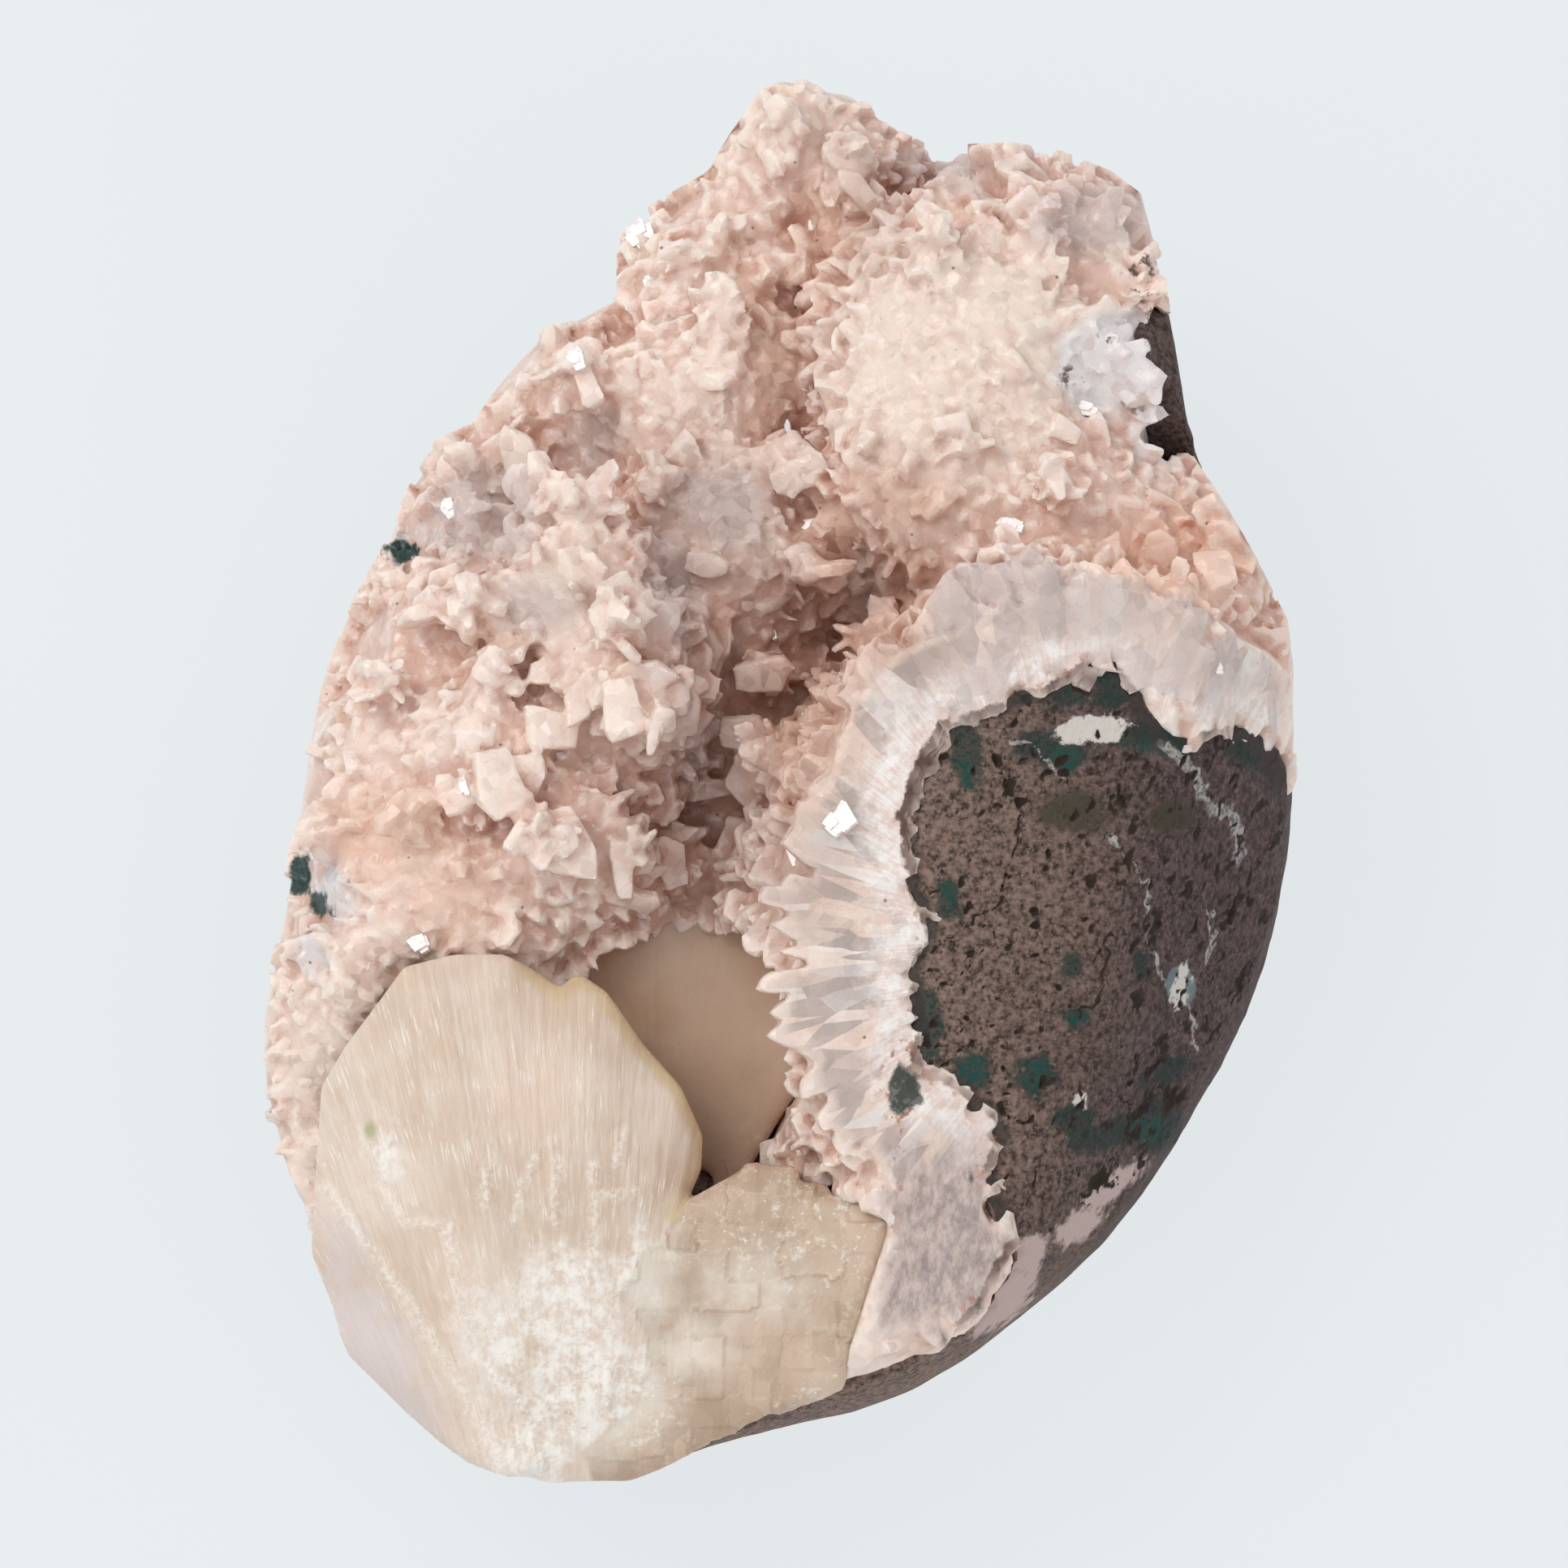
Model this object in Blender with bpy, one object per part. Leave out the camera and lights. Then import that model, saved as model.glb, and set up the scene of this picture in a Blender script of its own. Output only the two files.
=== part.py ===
# Heulandite cluster: pink heulandite crystals and cream stilbite lining a hollow in dark basalt.
# Run it with: blender --background --python part.py

import math
import random

import bmesh
import bpy
import numpy as np
from mathutils import Matrix, Vector, noise
from mathutils.bvhtree import BVHTree

# The lists below are in millimetres. The finished meshes are in metres.
MM = 0.001
SEED = 7

# The specimen lies on its flat back. Places on it are given as they look from one point, well above
# and in front of it: millimetres right and up of the middle of that view, and height over the base.
EYE_ELEVATION = math.radians(72)
EYE_DISTANCE = 966.0
MIDDLE = Vector((0, 0, 42))
TO_EYE = Vector((0, -math.cos(EYE_ELEVATION), math.sin(EYE_ELEVATION)))
UP_VIEW = Vector((0, math.sin(EYE_ELEVATION), math.cos(EYE_ELEVATION)))
EYE = MIDDLE + EYE_DISTANCE * TO_EYE

# Outline of the boulder at its widest level (right, up).
OUTLINE = [
    (2, 87), (8.5, 85), (13, 80.5), (18, 78), (28, 78.5), (34, 77.5), (40, 75), (44, 72), (46, 67),
    (47.5, 54), (50, 40), (54, 34), (57.5, 28), (61.5, 20), (63, 9), (64.5, -3), (63, -13), (59.5, -21),
    (56, -29.5), (51, -38), (45.5, -46), (39, -54), (32, -60.5), (25, -66.5), (16, -71.5), (3, -76),
    (-10, -81), (-22, -86.5), (-27, -86), (-36, -86), (-41, -83), (-47, -78), (-53, -73), (-57, -66),
    (-58, -58), (-62.5, -47), (-64, -36), (-64, -30), (-62, -18), (-60, -5), (-58, 6), (-54, 20), (-49, 29),
    (-46, 36), (-42.5, 42), (-38, 44), (-32.5, 52), (-27.5, 57.5), (-20, 59.5), (-20, 67), (-16, 71),
    (-9, 75), (-6, 80), (-2.5, 85),
]
BACK_DEPTH, BACK_FULLNESS = 54, 0.72
DOME_HEIGHT, DOME_FULLNESS = 46, 0.55
BOULDER_SEGMENTS, BOULDER_RINGS = 60, 24
WALL_ROUGHNESS, WALL_GRAIN = 1.6, 26
ROUGHNESS_RISE, EVENNESS_RISE = 1.5, 2.0
FOOT_SMOOTHING = [math.radians(turn) for turn in (-40, -28, -16, -6, 6, 16, 28, 40)]

# The two facets ground on the front: a point on each (right, up, height), and the way it faces in the
# view (right, up, towards the eye).
FACETS = [
    ((14, -5, 73), (0.27, -0.04, 0.96)),
    ((50, -8, 57), (0.80, -0.22, 0.56)),
]
FACET_ROUNDING = 1.6

# Outline of the bare basalt on those facets (right, up), with its corners outside the boulder.
BARE_BASALT = [
    (37.4, 14.6), (32.4, 11.6), (27.9, 9.8), (23.9, 8.4), (19.4, 7.1), (16.4, 2.6), (14.6, -3.9),
    (15.9, -12.4), (18.4, -18.4), (16, -22.4), (16.6, -29.4), (16.2, -35.9), (19.9, -36.4), (24.9, -39.9),
    (27.4, -43.4), (24.9, -47.4), (26.9, -52.4), (29.6, -54.4), (26.4, -59.4), (23.5, -64.4), (20, -68),
    (17.5, -72), (17, -100), (95, -100), (95, -3), (64.6, -2.4), (61.4, -0.9), (59.4, 3.6), (56.9, 6.1),
    (53.4, 6.6), (50.4, 5.1), (46.9, 5.4), (44.4, 8.1), (42.9, 11.6), (40.9, 14.1),
]
BARE_SPREAD = 1.12
CRUST_SECTION = 9.5
RIDGE_SLOPE = 4.0

# Floor of the hollow in the basalt (right, up, height).
HOLLOW_FLOOR = [
    (-8, 8, 12), (-20, 35, 13), (10, 28, 13), (22, 60, 18), (-5, 58, 18), (3, 86, 33), (30, 79, 36),
    (44.5, 68, 46), (43, 60, 60), (44, 50, 62), (46.5, 41, 57), (54, 32, 44), (61, 20, 38), (64, 6, 38),
    (42, 30, 24), (34, 50, 26), (-28, 58, 30),
    (-44, 36, 30), (-57, 10, 29), (-62, -20, 28), (-63, -45, 25), (-52, -72, 26), (-34, -84, 29),
    (-22, -85, 36), (-10, -80, 42), (2, -76, 44), (16, -71, 45), (-20, -30, 12), (-35, -60, 16),
    (-10, -60, 22), (8, -50, 26), (-16, 69, 31),
]
FLOOR_SPACING = 8.0
FLOOR_BLEND, FLOOR_FALL = 3, 4

# Places on the rim where the basalt shows because the crust is gone (right, up, height, radius).
BARE_RIM = [(46, 63, 52, 5), (47, 55, 54, 6), (47.5, 47, 54, 6), (49.5, 40, 50, 5)]
BREAK_DEPTH = 24

# Mounds of the crust (right, up, height, radius).
MOUNDS = [
    (2, 81, 57, 9), (7.5, 78.5, 54, 7), (-2.6, 74.6, 53, 7), (-7, 67.5, 53, 9), (-11, 62.5, 51, 8),
    (-17.5, 64, 46, 5), (22, 58, 69, 17), (33.5, 68.5, 61, 11), (41, 67, 54, 8), (13, 68, 58, 7),
    (18.5, 41, 66, 11), (33.5, 37, 63, 13), (40, 50, 59, 9), (48, 28.5, 57, 10), (57, 16.5, 50, 8),
    (51, 20, 54, 7), (27, 27, 58, 10), (-26.5, 50.5, 50, 8), (-11.5, 50.5, 57, 11), (-21.5, 40.5, 48, 7),
    (-32.5, 44.5, 45, 6), (-4, 60, 50, 7), (-7.5, 32.5, 58, 11), (-26.5, 27, 65, 10), (-20.5, 16.5, 65, 8),
    (-38, 34.5, 48, 7), (-40.5, 19.5, 57, 10), (-48.5, 6.5, 54, 10), (-36.5, 7.5, 61, 9),
    (-4.5, 12, 46, 9), (2, 4.5, 41, 7), (-10.5, 0.5, 41, 8), (-15, -8, 38, 6), (-27.5, -6.5, 57, 7),
    (-44.5, -7.5, 55, 11), (-36.5, -15, 50, 8), (-20, -15, 40, 7), (-7.5, -14, 40, 6), (-53, -22, 47, 7),
    (-58.5, -33, 40, 6), (-58.5, -46, 36, 6), (-56, -54.5, 32, 5), (6.5, -43, 40, 6), (9.5, -36.5, 58, 5),
    (3, -21.5, 63, 6), (6, -11.5, 68, 6), (9.5, -0.5, 71, 6), (15.5, 9.5, 73, 6), (24.5, 17.5, 72, 7),
    (33.5, 22, 70, 7), (45.5, 19, 64, 7), (54.5, 14, 56, 6), (4.5, -31, 60, 5), (20, -54, 60, 7),
    (18, -62, 58, 7), (12, -70, 50, 4), (16, -46, 62, 5),
]
MOUND_CROWN, MOUND_STEEPNESS = 0.5, 4.0
CRUST_THICKNESS = 7.0
CRUST_BLEND = 1.5
CRUST_ROUGHNESS, CRUST_GRAIN = 2.6, 9
CRUST_SPACING = 5.6

# Half the plan that the fields of heights cover, and levels that are clear of the boulder.
HALF_WIDTH, HALF_LENGTH = 76, 104
BELOW, ABOVE = -20, 150

# Heulandite crystals that stand out of the crust: flat coffin shapes.
SPRAY_COUNT = 64
SPRAY_AREA = ((-66, 66), (-90, 96))
SPRAY_SPACING = 8.5
SPRAY_SIZE = 2
CRYSTAL_LENGTHS = (13, 17)
CRYSTAL_WIDTHS = (6, 9)
CRYSTAL_THICKNESSES = (2.4, 3.6)
CRYSTAL_TIP = 0.35
CRYSTAL_STANDS_OUT = 0.5
CRYSTAL_LEAN = 0.45
CRYSTAL_MARGIN = 4.0

# The stilbite sheaf: a fan of blades from its root to its rim (right, up, towards the eye).
SHEAF_ROOT = (-27.6, -82.4, 25)
SHEAF_RIM = [
    (-36.6, -86.5, 24), (-46, -80, 21), (-53.5, -73.4, 19), (-57.5, -66, 18), (-58, -60, 17),
    (-57.4, -50, 17), (-56.6, -37.4, 17), (-53.6, -32.4, 17), (-49.1, -26.4, 18), (-46.6, -22.9, 18),
    (-40.6, -21.4, 18), (-34.6, -21.4, 18), (-31.6, -22.9, 18), (-27.6, -25.6, 19), (-25.4, -23.7, 19),
    (-22.1, -25.9, 19), (-17.6, -32.4, 20), (-13.1, -37.4, 20), (-10.4, -43.4, 20), (-10.6, -47.4, 20),
    (-13.1, -53.4, 20), (-16.6, -59.4, 21), (-17, -68, 22),
]
SHEAF_BULGE = 5
SHEAF_THICKNESS = (14, 4)
SHEAF_RIB = 0.9

# The cleaved block beside the sheaf: the four corners of each plate (right, up), lower left, lower
# right, upper right, upper left, and how far its face stands towards the eye.
BLOCK_PLATES = [
    ((-35, -87), (-15.4, -85.5), (-3.2, -46.9), (-12, -51.8), 26),
    ((-17.6, -86), (-7.2, -84.4), (1.6, -47.5), (-4.6, -47.1), 28),
    ((-9, -84), (0, -82), (5.4, -49.8), (-0.2, -49.2), 27),
    ((-2.2, -82), (6.4, -79.6), (10.4, -51.6), (3.8, -51), 29.5),
    ((3.4, -80), (8.4, -69), (13.4, -53.8), (8, -52.6), 30.5),
]
BLOCK_THICKNESS = 16

# The single blade that stands behind the sheaf, in the same terms.
BLADE_ROOT = (-16, -60, -10)
BLADE_RIM = [
    (-27, -27, 2), (-26.6, -23.4, 2), (-22.6, -19.9, 2), (-16.6, -17.4, 3), (-10.6, -16.2, 3),
    (-5, -17.2, 3), (-1.6, -20.4, 3), (1.2, -25.4, 3), (1.8, -31.4, 3), (2.2, -36.4, 3), (-1.4, -42, 2),
    (-4.6, -47.4, 1), (-6.4, -52.4, 0),
]
BLADE_BULGE = 2
BLADE_THICKNESS = (7, 3)
BLADE_RIB = 0.25
FAN_RINGS = 5
FAN_START = 0.06

# Clearance between two pieces that touch, and how far a piece's room in the crust is open towards the eye.
GAP = 0.4
LIFT_SHARE = 1.4
ROOM_DEPTH = 40
SHARPEST_CORNER = 2
SLIVER = 0.02

# Colour (red, green, blue, alpha) and roughness of each piece.
BASALT = ((0.11, 0.08, 0.075, 1), 0.75)
HEULANDITE = ((0.78, 0.52, 0.42, 1), 0.3)
STILBITE = ((0.72, 0.60, 0.45, 1), 0.35)


def sight(across, up):
    """The point in the middle plane of the view that is seen this far right and up."""
    return MIDDLE + Vector((across, 0, 0)) + UP_VIEW * up


def place(across, up, height):
    """The point at this height that is seen this far right and up."""
    line = sight(across, up) - EYE
    return EYE + line * ((height - EYE.z) / line.z)


def stand(across, up, forward):
    """The point this far in front of the middle plane that is seen this far right and up."""
    return EYE + (sight(across, up) - EYE) * (1 - forward / EYE_DISTANCE)


def from_view(right, up, forward):
    """A direction given in the view, as a direction in the model."""
    return (Vector((right, 0, 0)) + UP_VIEW * up + TO_EYE * forward).normalized()


FACET_PLANES = [(place(*point), from_view(*facing)) for point, facing in FACETS]


def on_facets(across, up):
    """The point of the ground front that is seen this far right and up."""
    line = sight(across, up) - EYE
    return EYE + line * max((point - EYE).dot(normal) / line.dot(normal) for point, normal in FACET_PLANES)


def facet_height(x, y):
    """Height of the ground front over a point of the plan."""
    return min(
        point.z - (normal.x * (x - point.x) + normal.y * (y - point.y)) / normal.z
        for point, normal in FACET_PLANES
    )


def smooth_max(values, blend):
    """The highest of the values, with the step from one to the next rounded."""
    top = max(values)
    return top + blend * math.log(sum(math.exp((value - top) / blend) for value in values))


def signed_distance(x, y, corners):
    """Distance to the outline through the corners, positive inside it."""
    here = Vector((x, y))
    inside = False
    nearest = math.inf
    for start, end in zip(corners, corners[1:] + corners[:1]):
        side = end - start
        share = min(1, max(0, (here - start).dot(side) / side.length_squared))
        nearest = min(nearest, (here - start - side * share).length)
        if (start.y > y) != (end.y > y) and x < start.x + (y - start.y) / side.y * side.x:
            inside = not inside
    return nearest if inside else -nearest


FLOOR_POINTS = [place(*spot) for spot in HOLLOW_FLOOR]
BARE_CORNERS = [on_facets(*corner).to_2d() for corner in BARE_BASALT]
MOUND_TOPS = [(place(across, up, height), radius) for across, up, height, radius in MOUNDS]
RIM_BREAKS = [(place(across, up, height), radius) for across, up, height, radius in BARE_RIM]


def floor_height(x, y):
    """Height of the basalt under the crust, from the floor points nearby."""
    distances = [math.hypot(x - spot.x, y - spot.y) for spot in FLOOR_POINTS]
    weights = [1 / (FLOOR_BLEND + distance) ** FLOOR_FALL for distance in distances]
    return sum(weight * spot.z for weight, spot in zip(weights, FLOOR_POINTS)) / sum(weights)


def crust_height(x, y):
    """Height of the crust without its crystals: a thin layer, the rim of the bare basalt and the mounds."""
    from_rim = signed_distance(x, y, BARE_CORNERS) + CRUST_SECTION
    levels = [floor_height(x, y) + CRUST_THICKNESS, facet_height(x, y) + RIDGE_SLOPE * from_rim]
    for top, radius in MOUND_TOPS:
        reach = math.hypot(x - top.x, y - top.y) / radius
        drop = MOUND_CROWN * min(1, reach) ** 2 + MOUND_STEEPNESS * max(0, reach - 1)
        levels.append(top.z - radius * drop)
    level = smooth_max(levels, CRUST_BLEND)
    level += CRUST_ROUGHNESS * noise.noise(Vector((x, y, level)) / CRUST_GRAIN)
    for spot, radius in RIM_BREAKS:
        level -= BREAK_DEPTH * max(0, 1 - math.hypot(x - spot.x, y - spot.y) / radius)
    return level


def add_object(name, bm, collection):
    mesh = bpy.data.meshes.new(name)
    bm.to_mesh(mesh)
    bm.free()
    obj = bpy.data.objects.new(name, mesh)
    collection.objects.link(obj)
    return obj


def combine(obj, other, operation, crossing=False, solver="EXACT"):
    """Applies one Boolean to an object. Crossing allows for bodies of the other that cross each other."""
    modifier = obj.modifiers.new(operation.title(), "BOOLEAN")
    modifier.operation = operation
    modifier.solver = solver
    modifier.use_self = crossing
    modifier.object = other
    graph = bpy.context.evaluated_depsgraph_get()
    mesh = bpy.data.meshes.new_from_object(obj.evaluated_get(graph))
    obj.modifiers.clear()
    obj.data = mesh


def keep_largest(obj):
    """Welds the slivers that a cut leaves, and drops the loose chips."""
    bm = bmesh.new()
    bm.from_mesh(obj.data)
    bmesh.ops.dissolve_degenerate(bm, dist=SLIVER, edges=bm.edges)
    bmesh.ops.triangulate(bm, faces=bm.faces)
    remaining = set(bm.faces)
    largest = set()
    while remaining:
        pending = [remaining.pop()]
        island = set(pending)
        while pending:
            for edge in pending.pop().edges:
                found = [face for face in edge.link_faces if face in remaining]
                remaining.difference_update(found)
                island.update(found)
                pending.extend(found)
        if len(island) > len(largest):
            largest = island
    bmesh.ops.delete(bm, geom=[face for face in bm.faces if face not in largest], context="FACES")
    bm.to_mesh(obj.data)
    bm.free()


def face_outwards(bm):
    bmesh.ops.recalc_face_normals(bm, faces=bm.faces)
    if bm.calc_volume(signed=True) < 0:
        bmesh.ops.reverse_faces(bm, faces=bm.faces)
    bm.normal_update()


def add_room(obj, collection):
    """A convex hollow that clears an object by the gap and is open towards the eye."""
    bm = bmesh.new()
    for vert in obj.data.vertices:
        bm.verts.new(vert.co)
        bm.verts.new(vert.co + TO_EYE * ROOM_DEPTH)
    bmesh.ops.remove_doubles(bm, verts=bm.verts, dist=SLIVER)
    bmesh.ops.convex_hull(bm, input=bm.verts)
    bmesh.ops.delete(bm, geom=[vert for vert in bm.verts if not vert.link_faces], context="VERTS")
    face_outwards(bm)
    moved = [(vert, vert.normal * GAP * min(SHARPEST_CORNER, vert.calc_shell_factor())) for vert in bm.verts]
    for vert, offset in moved:
        vert.co += offset
    return add_object(obj.name + "_room", bm, collection)


def copy_of(obj, name, collection):
    copied = bpy.data.objects.new(name, obj.data.copy())
    collection.objects.link(copied)
    return copied


def outline_radius():
    """A function that gives the boulder's widest radius in each direction."""
    corners = [place(across, up, MIDDLE.z) for across, up in OUTLINE]
    bearings = np.array([math.atan2(corner.y, corner.x) for corner in corners])
    radii = np.array([corner.to_2d().length for corner in corners])
    order = np.argsort(bearings)
    return lambda bearing: float(np.interp(bearing, bearings[order], radii[order], period=math.tau))


def add_boulder(collection):
    """The whole boulder as it was ground: round sides, a flat back and two facets on the front."""
    radius_at = outline_radius()
    bm = bmesh.new()
    bmesh.ops.create_uvsphere(bm, u_segments=BOULDER_SEGMENTS, v_segments=BOULDER_RINGS, radius=1)
    for vert in bm.verts:
        level = vert.co.z
        spread = vert.co.to_2d().length
        bearing = math.atan2(vert.co.y, vert.co.x)
        depth, fullness = (DOME_HEIGHT, DOME_FULLNESS) if level > 0 else (BACK_DEPTH, BACK_FULLNESS)
        even = sum(radius_at(bearing + turn) for turn in FOOT_SMOOTHING) / len(FOOT_SMOOTHING)
        evenness = min(1, max(0, -level * EVENNESS_RISE))
        reach = (radius_at(bearing) * (1 - evenness) + even * evenness) * spread**fullness
        outwards = Vector((math.cos(bearing), math.sin(bearing), 0))
        point = outwards * reach + Vector((0, 0, MIDDLE.z + level * depth))
        point += outwards * noise.noise(point / WALL_GRAIN) * WALL_ROUGHNESS * min(1, spread * ROUGHNESS_RISE)
        for spot, normal in FACET_PLANES:
            point -= normal * smooth_max([0, (point - spot).dot(normal)], FACET_ROUNDING)
        vert.co = point
    everything = bm.verts[:] + bm.edges[:] + bm.faces[:]
    cut = bmesh.ops.bisect_plane(bm, geom=everything, plane_co=(0, 0, 0), plane_no=(0, 0, -1), clear_outer=True)
    rim = [item for item in cut["geom_cut"] if isinstance(item, bmesh.types.BMEdge)]
    bmesh.ops.contextual_create(bm, geom=rim)
    face_outwards(bm)
    bmesh.ops.triangulate(bm, faces=bm.faces)
    return add_object("boulder", bm, collection)


def add_field(name, height_at, spacing, collection, lift=0.0):
    """Everything under a field of heights."""
    bm = bmesh.new()
    columns = round(2 * HALF_WIDTH / spacing)
    rows = round(2 * HALF_LENGTH / spacing)
    bmesh.ops.create_grid(bm, x_segments=columns, y_segments=rows, size=1)
    for vert in bm.verts:
        x, y = vert.co.x * HALF_WIDTH, vert.co.y * HALF_LENGTH
        vert.co = (x, y, height_at(x, y) + lift)
    added = bmesh.ops.extrude_face_region(bm, geom=bm.faces[:], use_keep_orig=True)["geom"]
    for item in added:
        if isinstance(item, bmesh.types.BMVert):
            item.co.z = BELOW
    face_outwards(bm)
    bmesh.ops.triangulate(bm, faces=bm.faces)
    return add_object(name, bm, collection)


def add_bare_column(collection, growth):
    """A column of basalt that carries the bare face, a little wider at its foot."""
    bm = bmesh.new()
    corners = [bm.verts.new((corner.x, corner.y, ABOVE)) for corner in BARE_CORNERS]
    top = bm.faces.new(corners)
    added = bmesh.ops.extrude_face_region(bm, geom=[top], use_keep_orig=True)["geom"]
    centre = sum(BARE_CORNERS, Vector((0, 0))) / len(BARE_CORNERS)
    for item in added:
        if isinstance(item, bmesh.types.BMVert):
            foot = centre + (item.co.to_2d() - centre) * BARE_SPREAD
            item.co = (foot.x, foot.y, BELOW)
    face_outwards(bm)
    moved = [(vert, vert.normal * growth * vert.calc_shell_factor()) for vert in bm.verts]
    for vert, offset in moved:
        vert.co += offset
    bmesh.ops.triangulate(bm, faces=bm.faces)
    return add_object("bare_column", bm, collection)


def add_core(name, growth, cutters):
    """The basalt inside the boulder, grown all over by a clearance."""
    core = add_field(name, floor_height, FLOOR_SPACING, cutters, growth * LIFT_SHARE)
    combine(core, add_bare_column(cutters, growth), "UNION")
    return core


def add_fan(name, root, rim, bulge, thickness, rib, collection):
    """A fan of blades: a ribbed sheet from its root to its rim, thick at the root and thin at the rim."""
    bm = bmesh.new()
    bmesh.ops.create_grid(bm, x_segments=len(rim) - 1, y_segments=FAN_RINGS, size=0.5)
    columns = {}
    for vert in bm.verts:
        column = round((vert.co.x + 0.5) * (len(rim) - 1))
        columns[vert] = (column, FAN_START + (1 - FAN_START) * (vert.co.y + 0.5))
    sheet = bm.faces[:]
    added = bmesh.ops.extrude_face_region(bm, geom=sheet, use_keep_orig=True)["geom"]
    behind = [item for item in added if isinstance(item, bmesh.types.BMVert)]
    for vert in behind:
        nearest = min(columns, key=lambda front: (front.co - vert.co).length_squared)
        columns[vert] = columns[nearest]
    back = set(behind)
    for vert, (column, share) in columns.items():
        across, up, forward = (near + (far - near) * share for near, far in zip(root, rim[column]))
        forward += bulge * math.sin(math.pi * share) + rib * share * (1 if column % 2 else -1)
        if vert in back:
            forward -= thickness[0] + (thickness[1] - thickness[0]) * share
        vert.co = stand(across, up, forward)
    face_outwards(bm)
    bmesh.ops.triangulate(bm, faces=bm.faces)
    return add_object(name, bm, collection)


def add_plate(corners, forward, collection):
    """One cleaved plate, square to the line of sight."""
    bm = bmesh.new()
    bmesh.ops.create_cube(bm, size=2)
    for vert in bm.verts:
        left, bottom = vert.co.x < 0, vert.co.y < 0
        across, up = corners[(0 if left else 1) if bottom else (3 if left else 2)]
        vert.co = stand(across, up, forward if vert.co.z > 0 else forward - BLOCK_THICKNESS)
    face_outwards(bm)
    bmesh.ops.triangulate(bm, faces=bm.faces)
    return add_object("plate", bm, collection)


def add_crystal(bm, centre, axis, roll, size):
    """A flat coffin-shaped crystal along an axis, narrower at its tip."""
    width, thickness, length = size
    turn = axis.to_track_quat("Z", "Y").to_matrix().to_4x4() @ Matrix.Rotation(roll, 4, "Z")
    made = bmesh.ops.create_cube(bm, size=1)["verts"]
    for vert in made:
        taper = CRYSTAL_TIP if vert.co.z > 0 else 1
        vert.co = Vector((vert.co.x * width * taper, vert.co.y * thickness, vert.co.z * length))
    bmesh.ops.transform(bm, matrix=Matrix.Translation(centre) @ turn, verts=made)


def add_crystals(crust_field, boulder, stilbites, collection):
    """Crystals all over the natural surface of the crust, clear of the ground faces and the stilbites."""
    source = random.Random(SEED)
    surface = BVHTree.FromObject(crust_field, bpy.context.evaluated_depsgraph_get())
    shell = BVHTree.FromObject(boulder, bpy.context.evaluated_depsgraph_get())
    others = [BVHTree.FromObject(obj, bpy.context.evaluated_depsgraph_get()) for obj in stilbites]
    bm = bmesh.new()
    taken = []
    while len(taken) < SPRAY_COUNT:
        start = Vector((source.uniform(*SPRAY_AREA[0]), source.uniform(*SPRAY_AREA[1]), ABOVE))
        point, normal, _, _ = surface.ray_cast(start, Vector((0, 0, -1)))
        roof, _, _, _ = shell.ray_cast(start, Vector((0, 0, -1)))
        if roof is None or roof.z < point.z or shell.find_nearest(point)[3] < CRYSTAL_MARGIN:
            continue
        if any(other.find_nearest(point)[3] < CRYSTAL_MARGIN for other in others):
            continue
        if any((point - spot).length < SPRAY_SPACING for spot in taken):
            continue
        taken.append(point)
        for _ in range(SPRAY_SIZE):
            lean = Vector((source.gauss(0, 1), source.gauss(0, 1), source.gauss(0, 1)))
            axis = (normal + CRYSTAL_LEAN * lean).normalized()
            length = source.uniform(*CRYSTAL_LENGTHS)
            size = (source.uniform(*CRYSTAL_WIDTHS), source.uniform(*CRYSTAL_THICKNESSES), length)
            centre = point + axis * length * (CRYSTAL_STANDS_OUT - 0.5)
            add_crystal(bm, centre, axis, source.uniform(0, math.tau), size)
    return add_object("crystals", bm, collection)


def add_stilbites(boulder, grown_core, parts, cutters):
    """The sheaf with its cleaved block, the blade behind it, and the room that each of them takes."""
    sheaf = add_fan("stilbite_sheaf", SHEAF_ROOT, SHEAF_RIM, SHEAF_BULGE, SHEAF_THICKNESS, SHEAF_RIB, parts)
    rooms = [add_room(sheaf, cutters)]
    for *corners, forward in BLOCK_PLATES:
        plate = add_plate(corners, forward, cutters)
        rooms.append(add_room(plate, cutters))
        combine(sheaf, plate, "UNION", solver="MANIFOLD")
    blade = add_fan("stilbite_blade", BLADE_ROOT, BLADE_RIM, BLADE_BULGE, BLADE_THICKNESS, BLADE_RIB, parts)
    for room in rooms:
        combine(blade, room, "DIFFERENCE", solver="MANIFOLD")
    rooms.append(add_room(blade, cutters))
    for stilbite in (sheaf, blade):
        combine(stilbite, boulder, "INTERSECT", solver="MANIFOLD")
        combine(stilbite, grown_core, "DIFFERENCE", solver="MANIFOLD")
        keep_largest(stilbite)
    return sheaf, blade, rooms


def add_matrix(boulder, core, parts):
    """The basalt: the boulder under the floor of the hollow, with the column of the bare face."""
    matrix = copy_of(boulder, "basalt_matrix", parts)
    combine(matrix, core, "INTERSECT")
    keep_largest(matrix)
    return matrix


def add_crust(boulder, grown_core, rooms, stilbites, parts, cutters):
    """The crust: everything between the basalt and the crystals, ground flush with the boulder."""
    crust = add_field("heulandite_crust", crust_height, CRUST_SPACING, parts)
    crystals = add_crystals(crust, boulder, stilbites, cutters)
    combine(crust, crystals, "UNION", crossing=True)
    combine(crust, boulder, "INTERSECT")
    combine(crust, grown_core, "DIFFERENCE")
    for room in rooms:
        combine(crust, room, "DIFFERENCE")
    keep_largest(crust)
    return crust


def set_material(obj, name, look):
    colour, roughness = look
    material = bpy.data.materials.new(name)
    material.use_nodes = True
    shader = material.node_tree.nodes["Principled BSDF"]
    shader.inputs["Base Color"].default_value = colour
    shader.inputs["Roughness"].default_value = roughness
    material.diffuse_color = colour
    obj.data.materials.clear()
    obj.data.materials.append(material)


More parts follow.
